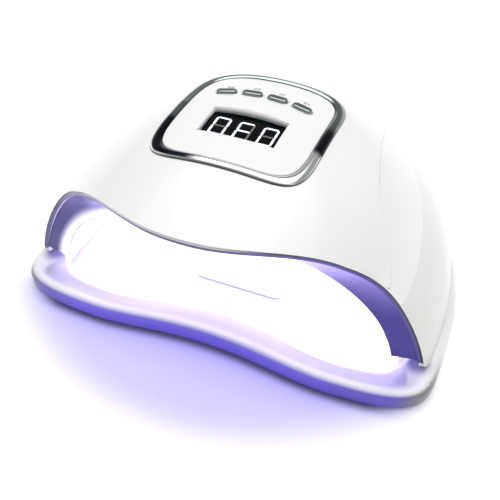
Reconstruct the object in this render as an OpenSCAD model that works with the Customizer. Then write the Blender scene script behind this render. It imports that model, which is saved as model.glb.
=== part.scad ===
// Curing lamp for nails: a lift-off housing with a hand cavity, on a tray with a raised rim.
// Millimetres. X runs across the lamp, Y from the open front to the back, Z up.
// The origin is on the surface that the lamp stands on, at the middle of its footprint.

/* [Tray] */
// Width of the tray across the lamp
tray_w = 230.5; // [229.5:0.5:236]
// Depth of the tray from front to back
tray_d = 194; // [192:0.5:196]
// Height of the rim that carries the housing
rim_z = 10.5; // [9.5:0.5:12]
// Height of the lip along the front edge
lip_z = 11; // [9:0.5:12]
// Height of the upright outer wall at the front
wall_z = 7.5; // [5:0.5:8]
// Height of the upright outer wall at the sides and back
side_z = 7; // [4:0.5:8]
// Thickness of the tray floor
floor_t = 3.2; // [2.4:0.2:4]
// How far the middle of the front edge is drawn in
front_dip = 5.6; // [0:0.1:8]
// Diameter of a rubber foot
foot_d = 12; // [8:1:14]
// Thickness of a rubber foot
foot_t = 1.4; // [1:0.1:2]

/* [Housing] */
// Depth of the whole lamp, from the edge of the hood to the back of the tray
lamp_d = 209; // [208:0.5:214]
// How far the sides of the housing stay in from the sides of the tray
dome_side = 3.05; // [2.5:0.05:4]
// How far the back of the housing stays in from the back of the tray
dome_behind = 0.8; // [0.5:0.1:2]
// Height of the top of the housing above the table
dome_h = 106; // [105:0.5:109]
// Reach of the full dome to the front, past the edge of the hood, as a share of the lamp's depth
dome_front_share = 0.7273; // [0.7:0.001:0.76]
// Distance of the middle of the dome in front of the origin, as a share of the lamp's depth
dome_ahead_share = 0.1555; // [0.153:0.0005:0.16]
// Wall of the upper shell
shell_t = 2.6; // [2:0.1:3.2]
// How far the shoulders of the hood's edge stay behind its middle
brow_l = 32.7; // [28:0.1:35]
// Share of the housing's half width over which the hood's edge swings back
brow_share = 0.82; // [0.76:0.01:0.88]
// Height of the underside of the hood's two feet
toe_z = 18; // [15:0.5:20]
// Length over which the skirt comes down from the feet to the tray rim
toe_l = 8; // [6:0.5:10]
// Gap between the housing and the tray rim
seat_gap = 0.3; // [0.1:0.05:0.5]

/* [Hand cavity] */
// Share of the housing's half width that the cavity takes up at the floor
cavity_wide = 0.829; // [0.79:0.001:0.84]
// Distance from the top of the cavity to the top of the housing
cavity_drop = 36; // [34:0.5:40]
// Distance of the mouth of the cavity behind the edge of the hood
mouth_behind = 35; // [34:0.5:36]
// Share of the cavity's length that runs straight back from its mouth
straight_share = 0.548; // [0.5:0.002:0.58]
// Share of the housing's reach to the back that stays free behind the cavity
cavity_free = 0.2; // [0.19:0.005:0.24]
// Wall of the reflector
reflector_t = 2; // [1.6:0.1:2.4]

/* [Controls] */
// Half width of the chrome ring
ring_hw = 40; // [38:0.5:42]
// Distance from the middle of the chrome ring to its back
ring_back_l = 41; // [39:0.5:42]
// Distance from the middle of the chrome ring to its front
ring_front_l = 45.2; // [43:0.2:46]
// Distance of the middle of the ring in front of the origin
ring_ahead = 20.5; // [19:0.5:22]
// Width of the chrome ring
ring_w = 4.8; // [4:0.2:6]
// Thickness of the control panel
panel_t = 2.6; // [2:0.1:3]
// Length of a button
button_l = 10.6; // [9:0.2:12]
// Width of a button
button_w = 4.6; // [4:0.2:5.4]
// Height that a button stands above the panel
button_up = 1.5; // [1:0.1:2]
// Travel of a button
button_travel = 0.5; // [0.3:0.1:0.6]
// Distance between two buttons
button_pitch = 13.3; // [12.6:0.1:14]
// Gap round a button in the panel
button_gap = 0.3; // [0.15:0.05:0.4]
// Width of the display module
display_w = 38.6; // [37:0.1:40]
// Depth of the display module
display_d = 20.9; // [18:0.1:22]
// Height of the display module above its board
display_t = 7.2; // [6.4:0.1:7.6]

/* [Hidden] */
$fn = 48;
eps = 0.01;
// Gaps between two pieces that stay together: one that is screwed or pressed, and one that is glued
joint_gap = 0.1;
glue_gap = 0.05;

// Exponents of the dome: its plan, and its rise from the skirt to the top
plan_n = 2.09;
rise_p = 2.39;
rise_q = 1.64;
dome_y = -dome_ahead_share * lamp_d;
dome_hw = tray_w / 2 - dome_side;
dome_back = lamp_d / 2 - dome_y - dome_behind;
dome_front = dome_front_share * lamp_d;
hood_y = -lamp_d / 2;
ring_y = -ring_ahead;
mouth_y = hood_y + mouth_behind;
skirt_z = rim_z + seat_gap;
cavity_hw = cavity_wide * dome_hw;
cavity_h = dome_h - cavity_drop;
cavity_l = dome_y + dome_back * (1 - cavity_free) - mouth_y;
cavity_straight = straight_share * cavity_l;
cavity_end = cavity_l - cavity_straight;
// Shape of the hood's front edge in plan: how blunt its middle is, and its flare towards the feet
brow_n = 1.13;
brow_hw = brow_share * dome_hw;
edge_flare = 0.13;
flare_share = 0.6;
flare_x = flare_share * dome_hw;

function spow(v, e) = sign(v) * pow(abs(v), e);
function step01(v) = let (c = min(1, max(0, v))) c * c * (3 - 2 * c);
function mix(a, b, s) = a + (b - a) * s;

// Height of the outside of the housing at a place in plan, or of a surface that lies t inside it
function dome_r(x, y, t) =
    let (b = (y < dome_y ? dome_front : dome_back) - t)
    pow(pow(abs(x) / (dome_hw - t), plan_n) + pow(abs(y - dome_y) / b, plan_n), 1 / plan_n);
function top_z(x, y, t = 0) =
    (dome_h - t) * pow(max(0, 1 - pow(dome_r(x, y, t), rise_p)), 1 / rise_q);

// Share of the dome's plan that is left at a height
function plan_share(z, t) = pow(1 - pow(z / (dome_h - t), rise_q), 1 / rise_p);
// Point of the dome's plan at a height, by its angle
function plan_pt(a, z, t) =
    let (s = plan_share(z, t), b = (sin(a) < 0 ? dome_front : dome_back) - t)
    [(dome_hw - t) * s * spow(cos(a), 2 / plan_n), dome_y + b * s * spow(sin(a), 2 / plan_n)];

// Front edge of the hood in plan
function edge_y(x) =
    hood_y + brow_l * step01(pow(abs(x) / brow_hw, brow_n)) + edge_flare * max(0, abs(x) - flare_x);
function foot_try(x, t) =
    let (
        s = plan_share(toe_z, t),
        v = pow(s, plan_n) - pow((dome_y - edge_y(x)) / (dome_front - t), plan_n)
    )
    (dome_hw - t) * pow(v, 1 / plan_n);
function foot_x(t) = foot_try(foot_try(foot_try(dome_hw - 5, t), t), t);
// Angle of the foot's tip in the dome's plan
function foot_a(t) =
    let (v = (dome_y - edge_y(foot_x(t))) / ((dome_front - t) * plan_share(toe_z, t)))
    -asin(pow(v, plan_n / 2));

// Edge of the housing in plan: along the hood from left to right, then round the skirt
hood_steps = 36;
skirt_steps = 64;
// How much closer together the points of the skirt are at the feet than at the back
skirt_crowd = 0.8;
function hood_pt(k, t) =
    let (x = foot_x(t) * spow(sin(180 * k / hood_steps - 90), 0.8))
    [x, edge_y(x * dome_hw / (dome_hw - t))];
// Share of the toe's height that is left at a distance behind its tip
function toe_share(d) = 1 - sqrt(1 - pow(1 - min(1, max(0, d / toe_l)), 2));
function skirt_pt(k, t) =
    let (
        u = k / skirt_steps,
        a0 = foot_a(t),
        a = a0 + (180 - 2 * a0) * (u - skirt_crowd * sin(360 * u) / 2 / PI),
        behind = plan_pt(a, skirt_z, t)[1] - edge_y(foot_x(t))
    )
    plan_pt(a, mix(skirt_z, toe_z, toe_share(behind)), t);
function edge_loop(t) = concat(
    [for (k = [0:hood_steps - 1]) hood_pt(k, t)],
    [for (k = [0:skirt_steps - 1]) skirt_pt(k, t)]
);

// Outline of the chrome ring in plan, drawn in by d
ring_front_n = 5.4;
ring_back_n = 4.5;
function ring_pt(a, d) =
    let (
        n = sin(a) < 0 ? ring_front_n : ring_back_n,
        l = sin(a) < 0 ? ring_front_l : ring_back_l,
        r = pow(pow(abs(cos(a)) / (ring_hw - d), n) + pow(abs(sin(a)) / (l - d), n), -1 / n)
    )
    [r * cos(a), ring_y + r * sin(a)];
// Layers of the ring seat, drawn in from the ring's outside
seat_d = 1.6;
ledge_d = 8;
ledge_t = 1.2;
seat_clear = 0.3;
leg_gap = 0.3;

// Faces of a ring-shaped skin: loops of n points, the last joined to the first
function quad(a, b, c, d) = [[a, b, c], [a, c, d]];
function torus_faces(m, n) = [
    for (i = [0:m - 1]) for (j = [0:n - 1])
        let (i2 = (i + 1) % m, j2 = (j + 1) % n)
        each quad(i * n + j, i2 * n + j, i2 * n + j2, i * n + j2)
];
// Faces of a stack of loops, closed by a flat face at each end
function stack_faces(m, n) = concat(
    [for (i = [0:m - 2]) for (j = [0:n - 1])
        let (j2 = (j + 1) % n)
        each quad(i * n + j, (i + 1) * n + j, (i + 1) * n + j2, i * n + j2)],
    [[for (j = [0:n - 1]) j]],
    [[for (j = [n - 1:-1:0]) (m - 1) * n + j]]
);
module ring_skin(loops) {
    polyhedron([for (l = loops) each l], torus_faces(len(loops), len(loops[0])));
}
module stack(loops) {
    polyhedron([for (l = loops) each l], stack_faces(len(loops), len(loops[0])));
}
function lift(p, z) = [p[0], p[1], z];
function flip(l) = [for (i = [len(l) - 1:-1:0]) l[i]];

// Upper shell
outer_steps = 15;
inner_steps = 10;
function spread(i, m) = 1 - pow(1 - i / m, 1.8);
function skin(from, to, u, t, drop) = [
    for (k = [0:len(to) - 1])
        let (p = from[k] + (to[k] - from[k]) * u) lift(p, top_z(p[0], p[1], t) - drop)
];
boss_r = 3.2;
boss_in = 11;
pilot_r = 1.25;
screw_a = [-9, 66];
function boss_pt(a) = plan_pt(a, skirt_z, 0) - boss_in * boss_dir(a);
function boss_dir(a) = let (p = plan_pt(a, skirt_z, 0) - [0, dome_y]) p / norm(p);
function boss_top(a) =
    let (p = boss_pt(a) + (boss_r + shell_t / 2) * boss_dir(a)) top_z(p[0], p[1]);
frame_t = 2;
frame_top = skirt_z + frame_t;

module at_screws() {
    for (a = screw_a) for (m = [0, 1])
        mirror([m, 0, 0]) translate(lift(boss_pt(a), 0)) children();
}
module upper_shell() {
    edge = edge_loop(0);
    inner_edge = edge_loop(shell_t);
    angles = [for (p = edge) atan2(p[1] - ring_y, p[0])];
    seat = [for (a = angles) ring_pt(a, seat_d)];
    ledge = [for (a = angles) ring_pt(a, ledge_d)];
    ledge_z = panel_t + seat_clear;
    loops = concat(
        [skin(seat, edge, 0, 0, ledge_z)],
        [for (i = [0:outer_steps]) skin(seat, edge, spread(i, outer_steps), 0, 0)],
        [for (i = [inner_steps:-1:1]) skin(ledge, inner_edge, spread(i, inner_steps), shell_t, 0)],
        [skin(ledge, edge, 0, 0, ledge_z + ledge_t)],
        [skin(ledge, edge, 0, 0, ledge_z)]
    );
    color([0.95, 0.95, 0.96])
    difference() {
        union() {
            ring_skin(flip(loops));
            for (a = screw_a) for (m = [0, 1])
                mirror([m, 0, 0]) translate(lift(boss_pt(a), frame_top + joint_gap))
                    cylinder(r = boss_r, h = boss_top(a) - frame_top - joint_gap);
        }
        at_screws() translate([0, 0, frame_top - 1]) cylinder(r = pilot_r, h = screw_l - frame_t + 2);
        translate([0, 0, inlet_z]) rotate([-90, 0, 0]) cylinder(d = inlet_d + 2 * leg_gap, h = dome_back);
    }
}

// Cavity: an arch that runs straight back from the mouth and ends in a rounded wall
cavity_n = 2.5;
crown_share = 0.3;
arch_steps = 12;
turn_steps = 14;
function arch_a(i, z0, h) =
    let (
        a0 = asin(pow(z0 / h, cavity_n / 2)),
        a1 = acos(pow(crown_share, cavity_n / 2))
    )
    a0 + (a1 - a0) * i / arch_steps;
// Half width share and height of the arch at a step up its side
function arch_w(a) = pow(cos(a), 2 / cavity_n);
function arch_h(a) = pow(sin(a), 2 / cavity_n);
// Plan of the cavity from the right of the mouth round the back to the left, at a share of its size
function cavity_plan(s, t, y0) =
    let (w = (cavity_hw + t) * s, e = (cavity_end + t) * s, yc = mouth_y + cavity_straight)
    concat(
        [[w, y0]],
        [for (k = [0:turn_steps * 2])
            let (a = 90 * k / turn_steps)
            [w * spow(cos(a), 2 / cavity_n), yc + e * pow(sin(a), 2 / cavity_n)]],
        [[-w, y0]]
    );
bezel_t = 2;
// How much further the feet of the reflector stay behind the slanting bezel than its crown does
foot_behind = 1.4;
module reflector() {
    y0 = mouth_y + bezel_t + joint_gap;
    n = turn_steps * 2 + 3;
    m = arch_steps + 1;
    function side(t) = [
        for (i = [0:arch_steps])
            let (a = arch_a(i, skirt_z, cavity_h + t))
            each [
                for (p = cavity_plan(arch_w(a), t, y0 + foot_behind * pow(1 - i / arch_steps, 2)))
                    lift(p, (cavity_h + t) * arch_h(a))
            ]
    ];
    o = m * n;
    faces = concat(
        [for (i = [0:m - 2]) for (j = [0:n - 2])
            each quad(i * n + j, (i + 1) * n + j, (i + 1) * n + j + 1, i * n + j + 1)],
        [for (i = [0:m - 2]) for (j = [0:n - 2])
            each quad(o + i * n + j, o + i * n + j + 1, o + (i + 1) * n + j + 1, o + (i + 1) * n + j)],
        [[for (j = [n - 1:-1:0]) (m - 1) * n + j]],
        [[for (j = [0:n - 1]) o + (m - 1) * n + j]],
        [for (j = [0:n - 2]) each quad(j, j + 1, o + j + 1, o + j)],
        [for (i = [0:m - 2]) each quad(i * n, o + i * n, o + (i + 1) * n, (i + 1) * n)],
        [for (i = [1:m - 1]) each quad(i * n - 1, (i + 1) * n - 1, o + (i + 1) * n - 1, o + i * n - 1)],
        quad((m - 1) * n, o + (m - 1) * n, o + m * n - 1, m * n - 1)
    );
    color([0.86, 0.84, 0.97])
    polyhedron(concat(side(reflector_t), side(0)), faces);
}

// Arch of the mouth from right to left, as places across and heights, drawn in by d
function arch(d, from, z0 = skirt_z) =
    let (
        h = cavity_h - d,
        right = [for (i = [from:arch_steps])
            let (a = arch_a(i, z0, cavity_h))
            [(cavity_hw - d) * arch_w(a), h * arch_h(a)]]
    )
    concat(right, [for (i = [len(right) - 1:-1:0]) [-right[i][0], right[i][1]]]);

// Front bezel: a slanting plate between the hood and the mouth of the cavity
bezel_gap = 0.2;
bezel_back = 1;
// How much higher the underside of the bezel is at the mouth than at the toes
bezel_rise = 2;
module front_bezel() {
    t = shell_t + bezel_gap;
    mouth = arch(0, 0, toe_z + bezel_rise);
    n = len(mouth);
    sections = [
        for (k = [0:n - 1])
            let (
                a = 180 * k / (n - 1),
                x = foot_x(t) * spow(cos(a), 2 / 3),
                y = edge_y(x) + bezel_back,
                m = mouth[k]
            )
            [
                [x, y, top_z(x, y, t)],
                [m[0], mouth_y, m[1]],
                [m[0], mouth_y + bezel_t, m[1]],
                [x, y + bezel_t, top_z(x, y, t)]
            ]
    ];
    color([0.44, 0.38, 0.84]) stack(flip(sections));
}

// Bottom frame: closes the gap between the shell and the reflector from below
frame_behind = 10;
frame_y0 = mouth_y + frame_behind;
magnet_d = 5;
magnet_t = 2;
magnet_in = 6.2;
magnet_a = [0, 58];
screw_l = 12;
vent_w = 2;
vent_l = 9;
vent_pitch = 5;
vent_n = 7;
vent_behind = 5;
vent_y = mouth_y + cavity_l + vent_behind;
module frame_outline() {
    t = shell_t + bezel_gap;
    s = plan_share(frame_top, t);
    a0 = -asin(pow((dome_y - frame_y0) / ((dome_front - t) * s), plan_n / 2));
    foot_share = arch_w(arch_a(0, skirt_z, cavity_h + reflector_t));
    inner = cavity_plan(foot_share, reflector_t + joint_gap, frame_y0);
    polygon(concat(
        [for (k = [0:skirt_steps]) plan_pt(a0 + (180 - 2 * a0) * k / skirt_steps, frame_top, t)],
        [for (i = [len(inner) - 1:-1:0]) inner[i]]
    ));
}
module at_magnets() {
    for (a = magnet_a) for (m = [0, 1])
        mirror([m, 0, 0]) translate(lift(plan_pt(a, skirt_z, 0) - magnet_in * boss_dir(a), 0)) children();
}
module bottom_frame() {
    color([0.9, 0.9, 0.92])
    difference() {
        translate([0, 0, skirt_z]) linear_extrude(frame_t) frame_outline();
        at_screws() {
            translate([0, 0, skirt_z - 1]) cylinder(r = screw_r + screw_gap, h = frame_t + 2);
            translate([0, 0, skirt_z - 1]) cylinder(r = screw_head_r + screw_gap, h = screw_head_h + 1);
        }
        at_magnets() translate([0, 0, skirt_z - 1]) cylinder(d = magnet_d, h = frame_t + 2);
        for (i = [0:vent_n - 1])
            translate([(i - (vent_n - 1) / 2) * vent_pitch - vent_w / 2, vent_y, skirt_z - 1])
                cube([vent_w, vent_l, frame_t + 2]);
    }
}
module housing_magnets() {
    color([0.7, 0.7, 0.72])
    at_magnets() translate([0, 0, skirt_z + glue_gap]) cylinder(d = magnet_d, h = magnet_t - glue_gap);
}
screw_r = 1.15;
screw_head_r = 2.4;
screw_head_h = 1.2;
screw_gap = 0.2;
module housing_screws() {
    color([0.55, 0.56, 0.58])
    at_screws() {
        translate([0, 0, skirt_z]) cylinder(r = screw_r, h = screw_l);
        translate([0, 0, skirt_z]) cylinder(r = screw_head_r, h = screw_head_h);
    }
}

// Chrome ring round the controls
ring_loop_n = 96;
module chrome_ring() {
    deep = joint_gap - panel_t - seat_clear;
    leg = seat_d + leg_gap;
    // Section of the ring: distance in from its outside, and height above the shell
    profile = [
        [0, joint_gap], [0.9, 1.3], [2.3, 1.7], [ring_w - 1, 1.1],
        [ring_w, joint_gap], [ring_w, deep], [leg, deep], [leg, joint_gap]
    ];
    color([0.82, 0.83, 0.85])
    ring_skin([
        for (q = profile) [
            for (k = [0:ring_loop_n - 1])
                let (p = ring_pt(360 * k / ring_loop_n, q[0]))
                lift(p, top_z(p[0], p[1]) + q[1])
        ]
    ]);
}

// Control panel with its display window, button holes and board posts
panel_up = 0.2;
panel_n = 72;
panel_loops = 7;
board_t = 1.6;
board_drop = 12.6;
board_z = dome_h - board_drop;
board_top = board_z + board_t;
board_hw = 30;
board_ahead = 26;
board_behind = 27;
board_y0 = ring_y - board_ahead;
board_y1 = ring_y + board_behind;
post_side = 4.5;
post_in = 3.5;
post_x = board_hw - post_side;
post_y = [board_y0 + post_in, board_y1 - post_in];
post_r = 2.4;
thread_r = 0.85;
window_ahead = 23.3;
window_l = 20.7;
window_y0 = ring_y - window_ahead;
window_y1 = window_y0 + window_l;
// The window's back edge bows out as it rises from the display: how far, and over which height
window_bow = 4.5;
window_up = 6;
window_steps = 12;
window_in = 0.2;
display_z = board_top + display_t;
pocket_gap = 0.2;

module at_posts() {
    for (x = [-post_x, post_x]) for (y = post_y) translate([x, y, 0]) children();
}
// Outline of the window at a bow of its back edge
module window_plan(bow) {
    w = display_w / 2 - window_in;
    linear_extrude(eps) polygon(concat(
        [[-w, window_y0], [w, window_y0]],
        [for (i = [0:window_steps])
            let (u = 1 - 2 * i / window_steps) [w * u, window_y1 + bow * (1 - u * u)]]
    ));
}
module control_panel() {
    d = ring_w + leg_gap;
    shares = [for (i = [0:panel_loops]) i == 0 ? 0.06 : i / panel_loops];
    function face_loop(s, h) = [
        for (k = [0:panel_n - 1])
            let (q = ring_pt(360 * k / panel_n, d), p = [q[0] * s, ring_y + (q[1] - ring_y) * s])
            lift(p, top_z(p[0], p[1]) + h)
    ];
    loops = concat(
        [for (i = [0:panel_loops]) face_loop(shares[i], -panel_t)],
        [for (i = [panel_loops:-1:0]) face_loop(shares[i], panel_up)]
    );
    n = panel_n;
    m = len(loops);
    points = concat(
        [for (l = loops) each l],
        [[0, ring_y, top_z(0, ring_y) - panel_t], [0, ring_y, top_z(0, ring_y) + panel_up]]
    );
    faces = concat(
        [for (i = [0:m - 2]) for (j = [0:n - 1])
            let (j2 = (j + 1) % n)
            each quad(i * n + j, (i + 1) * n + j, (i + 1) * n + j2, i * n + j2)],
        [for (j = [0:n - 1]) [j, (j + 1) % n, m * n]],
        [for (j = [0:n - 1]) [(m - 1) * n + (j + 1) % n, (m - 1) * n + j, m * n + 1]]
    );
    color([0.96, 0.96, 0.97])
    difference() {
        union() {
            polyhedron(points, faces);
            for (x = [-post_x, post_x]) for (y = post_y) translate([x, y, board_top])
                cylinder(r = post_r, h = top_z(x, y) - panel_t / 2 - board_top);
        }
        hull() {
            translate([0, 0, display_z]) window_plan(0);
            translate([0, 0, display_z + window_up]) window_plan(window_bow);
        }
        translate([-display_w / 2 - pocket_gap, display_y - display_d / 2 - pocket_gap, board_top])
            cube([display_w + 2 * pocket_gap, display_d + 2 * pocket_gap, display_t + pocket_gap]);
        for (i = [0:3]) at_button(i) pill(button_w / 2 + button_gap, -panel_t - 2, 2);
        at_posts() translate([0, 0, board_top - 1])
            cylinder(r = thread_r + glue_gap, h = board_screw_in + 1.4);
    }
}

// Buttons on an arc behind the display
button_arc = 0.0045;
button_behind = 15.2;
button_y = ring_y + button_behind;
flange_w = 0.8;
flange_t = 0.8;
flange_gap = 0.4;
switch_h = 3.5;
switch_w = 6;
stem_gap = button_travel + 0.2;
stem_r = 1.4;
button_bevel = 0.8;
switch_knob_r = 1.7;
switch_knob_h = 1;
function button_x(i) = (i - 1.5) * button_pitch;
function button_at(i) = let (x = button_x(i)) [x, button_y - button_arc * x * x];
function slope_x(p) = (top_z(p[0] + 0.5, p[1]) - top_z(p[0] - 0.5, p[1]));
function slope_y(p) = (top_z(p[0], p[1] + 0.5) - top_z(p[0], p[1] - 0.5));
module at_button(i) {
    p = button_at(i);
    sx = slope_x(p);
    sy = slope_y(p);
    l = sqrt(1 + sx * sx + sy * sy);
    ay = asin(-sx / l);
    ax = -asin(-sy / l / cos(ay));
    translate([p[0], p[1], top_z(p[0], p[1]) + panel_up])
        rotate([ax, 0, 0]) rotate([0, ay, 0]) rotate([0, 0, -atan(2 * button_arc * p[0])])
            children();
}
// Straight pill shape of radius r between two heights
module pill(r, z0, z1) {
    half = (button_l - button_w) / 2;
    translate([0, 0, z0]) {
        for (x = [-half, half]) translate([x, 0, 0]) cylinder(r = r, h = z1 - z0);
        translate([-half, -r, 0]) cube([2 * half, 2 * r, z1 - z0]);
    }
}
module button(i) {
    half = (button_l - button_w) / 2;
    r = button_w / 2;
    under = -panel_t - panel_up - flange_gap;
    stem = board_top + switch_h + stem_gap - top_z(button_at(i)[0], button_at(i)[1]) - panel_up;
    color([0.8, 0.81, 0.83])
    at_button(i) {
        pill(r, under, button_up - button_bevel);
        for (x = [-half, half])
            translate([x, 0, button_up - button_bevel])
                cylinder(r1 = r, r2 = r - button_bevel, h = button_bevel);
        translate([-half, 0, button_up - button_bevel]) rotate([90, 0, 90]) linear_extrude(2 * half)
            polygon([[-r, 0], [r, 0], [r - button_bevel, button_bevel], [button_bevel - r, button_bevel]]);
        pill(r + flange_w, under - flange_t, under);
        translate([0, 0, stem]) cylinder(r = stem_r, h = under - flange_t - stem + eps);
    }
}
module button_10() button(3);
module button_30() button(2);
module button_60() button(1);
module button_99() button(0);

module tact_switches() {
    color([0.15, 0.15, 0.16])
    for (i = [0:3]) translate(lift(button_at(i), board_top)) {
        translate([-switch_w / 2, -switch_w / 2, 0]) cube([switch_w, switch_w, switch_h - switch_knob_h]);
        cylinder(r = switch_knob_r, h = switch_h);
    }
}
module control_board() {
    color([0.1, 0.4, 0.2])
    difference() {
        translate([-board_hw, board_y0, board_z]) cube([2 * board_hw, board_y1 - board_y0, board_t]);
        at_posts() translate([0, 0, board_z - 1]) cylinder(r = thread_r + screw_gap, h = board_t + 2);
    }
}
board_head_r = 1.9;
board_head_h = 1.2;
board_screw_in = 2.6;
module board_screws() {
    color([0.55, 0.56, 0.58])
    at_posts() {
        translate([0, 0, board_z - board_head_h]) cylinder(r = board_head_r, h = board_head_h);
        translate([0, 0, board_z - eps]) cylinder(r = thread_r, h = board_t + board_screw_in);
    }
}

// Three digits, each of seven segments
digit_pitch = 12.2;
digit_w = 7.8;
digit_h = 14;
seg_w = 1;
seg_t = 0.15;
display_y = window_y1 - display_d / 2;
digit_y = display_y + 0.35;
module display_module() {
    color([0.02, 0.02, 0.025])
    translate([-display_w / 2, display_y - display_d / 2, board_top]) cube([display_w, display_d, display_t]);
}
// Segments in the order top, upper left, upper right, middle, lower left, lower right, bottom
module bar(l) {
    h = seg_w / 2;
    linear_extrude(seg_t)
        polygon([[-l / 2, 0], [h - l / 2, h], [l / 2 - h, h], [l / 2, 0], [l / 2 - h, -h], [h - l / 2, -h]]);
}
module segment(k) {
    w = (digit_w - seg_w) / 2;
    h = (digit_h - seg_w) / 2;
    l = 2 * w - 0.3;
    v = h - 0.3;
    if (k == 0) translate([0, h, 0]) bar(l);
    if (k == 1) translate([-w, h / 2, 0]) rotate(90) bar(v);
    if (k == 2) translate([w, h / 2, 0]) rotate(90) bar(v);
    if (k == 3) bar(l);
    if (k == 4) translate([-w, -h / 2, 0]) rotate(90) bar(v);
    if (k == 5) translate([w, -h / 2, 0]) rotate(90) bar(v);
    if (k == 6) translate([0, -h, 0]) bar(l);
}
lit = [[0, 1, 2, 4, 5, 6], [0, 1, 3, 4, 6], [0, 1, 2, 4, 5, 6]];
module digits(on) {
    for (d = [0:2]) translate([(d - 1) * digit_pitch, digit_y, display_z])
        for (k = [0:6]) if ((len(search(k, lit[d])) > 0) == on) segment(k);
}
module segments_lit() { color([1, 1, 1]) digits(true); }
module segments_dim() { color([0.4, 0.4, 0.38]) digits(false); }

// Light strips across the cavity, and their lamps
strip_t = 1.6;
strip_w = 12;
strip_from = 2;
strip_y = [9, 28, 47, 66];
led_d = 4.6;
led_h = 1;
lens_r = 2;
led_side = [1, 4, 7];
led_crown = 18;
led_seat = 0.02;
module led() {
    cylinder(d = led_d, h = led_h);
    translate([0, 0, led_h]) rotate_extrude() intersection() {
        circle(r = lens_r);
        square([lens_r, lens_r]);
    }
}
module led_strip(i) {
    outer = arch(glue_gap, strip_from);
    inner = arch(glue_gap + strip_t, strip_from);
    n = len(outer);
    color([0.92, 0.92, 0.94])
    translate([0, mouth_y + strip_y[i] + strip_w / 2, 0]) rotate([90, 0, 0]) linear_extrude(strip_w)
        polygon(concat(outer, [for (k = [n - 1:-1:0]) inner[k]]));
}
module leds(i) {
    line = arch(glue_gap + strip_t, strip_from);
    color([0.75, 0.7, 1])
    translate([0, mouth_y + strip_y[i], 0]) {
        for (k = led_side) for (m = [0, 1]) mirror([m, 0, 0]) {
            c = (line[k] + line[k + 1]) / 2;
            v = line[k + 1] - line[k];
            translate([c[0], 0, c[1]]) rotate([0, atan2(-v[1], v[0]), 0]) translate([0, 0, led_seat]) led();
        }
        top = line[arch_steps - strip_from][1];
        for (x = [-led_crown, 0, led_crown]) translate([x, 0, top - led_seat]) mirror([0, 0, 1]) led();
    }
}
module led_strip_1() led_strip(0);
module led_strip_2() led_strip(1);
module led_strip_3() led_strip(2);
module led_strip_4() led_strip(3);
module leds_1() leds(0);
module leds_2() leds(1);
module leds_3() leds(2);
module leds_4() leds(3);

rear_z0 = 26;
rear_z1 = 36;
rear_from = 6;
rear_to = 22;
rear_side = [0, 2, 4, 6];
rear_gap = 0.12;
function rear_line(d) =
    let (
        s = arch_w(asin(pow(rear_z1 / cavity_h, cavity_n / 2))),
        p = cavity_plan(s, -d, mouth_y)
    )
    [for (k = [rear_from:rear_to]) p[k + 1]];
module rear_led_strip() {
    outer = rear_line(rear_gap);
    inner = rear_line(rear_gap + strip_t);
    n = len(outer);
    color([0.92, 0.92, 0.94])
    translate([0, 0, rear_z0]) linear_extrude(rear_z1 - rear_z0)
        polygon(concat(outer, [for (k = [n - 1:-1:0]) inner[k]]));
}
module rear_leds() {
    line = rear_line(rear_gap + strip_t);
    color([0.75, 0.7, 1])
    for (k = rear_side) for (m = [0, 1]) mirror([m, 0, 0]) {
        c = (line[k] + line[k + 1]) / 2;
        v = line[k + 1] - line[k];
        translate([c[0], c[1], (rear_z0 + rear_z1) / 2]) rotate([0, 0, atan2(v[0], -v[1])])
            rotate([0, 90, 0]) translate([0, 0, led_seat]) led();
    }
}

// Driver board on top of the reflector
crown_top = (cavity_h + reflector_t) * arch_h(arch_a(arch_steps, skirt_z, cavity_h + reflector_t));
standoff_h = 6;
driver_hw = 22;
driver_behind = 34;
driver_y0 = mouth_y + driver_behind;
driver_l = 62;
driver_z = crown_top + standoff_h;
standoff_in = 4;
standoff_r = 2.5;
module at_standoffs() {
    for (x = [-1, 1] * (driver_hw - standoff_in)) for (y = [standoff_in, driver_l - standoff_in])
        translate([x, driver_y0 + y, 0]) children();
}
module board_standoffs() {
    color([0.78, 0.66, 0.35])
    at_standoffs() translate([0, 0, crown_top]) cylinder(r = standoff_r, h = standoff_h);
}
module driver_board() {
    color([0.1, 0.4, 0.2])
    translate([-driver_hw, driver_y0, driver_z]) cube([2 * driver_hw, driver_l, board_t]);
}
// Round parts of the driver: place from the middle of its front edge, radius and height
driver_cans = [[-8, 16, 6, 7], [9, 14, 4, 10], [9, 25, 4, 10]];
// Blocks on the driver: near left corner from the middle of its front edge, then width, depth and height
driver_blocks = [[-14, 32, 10, 8, 3], [2, 36, 12, 6, 6], [-12, 48, 16, 6, 5]];
module driver_parts() {
    color([0.2, 0.2, 0.22])
    translate([0, driver_y0, driver_z + board_t]) {
        for (c = driver_cans) translate([c[0], c[1], 0]) cylinder(r = c[2], h = c[3]);
        for (c = driver_blocks) translate([c[0], c[1], 0]) cube([c[2], c[3], c[4]]);
    }
}
sensor_in = 19;
sensor_r = 3;
sensor_h = 2.15;
sensor_lens_r = 2;
sensor_lens_h = 1;
module presence_sensor() {
    z = cavity_h * arch_h(arch_a(arch_steps, skirt_z, cavity_h));
    color([0.08, 0.06, 0.1])
    translate([0, mouth_y + sensor_in, z - glue_gap - sensor_h]) {
        cylinder(r = sensor_r, h = sensor_h);
        translate([0, 0, -sensor_lens_h]) cylinder(r = sensor_lens_r, h = sensor_lens_h);
    }
}

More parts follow.
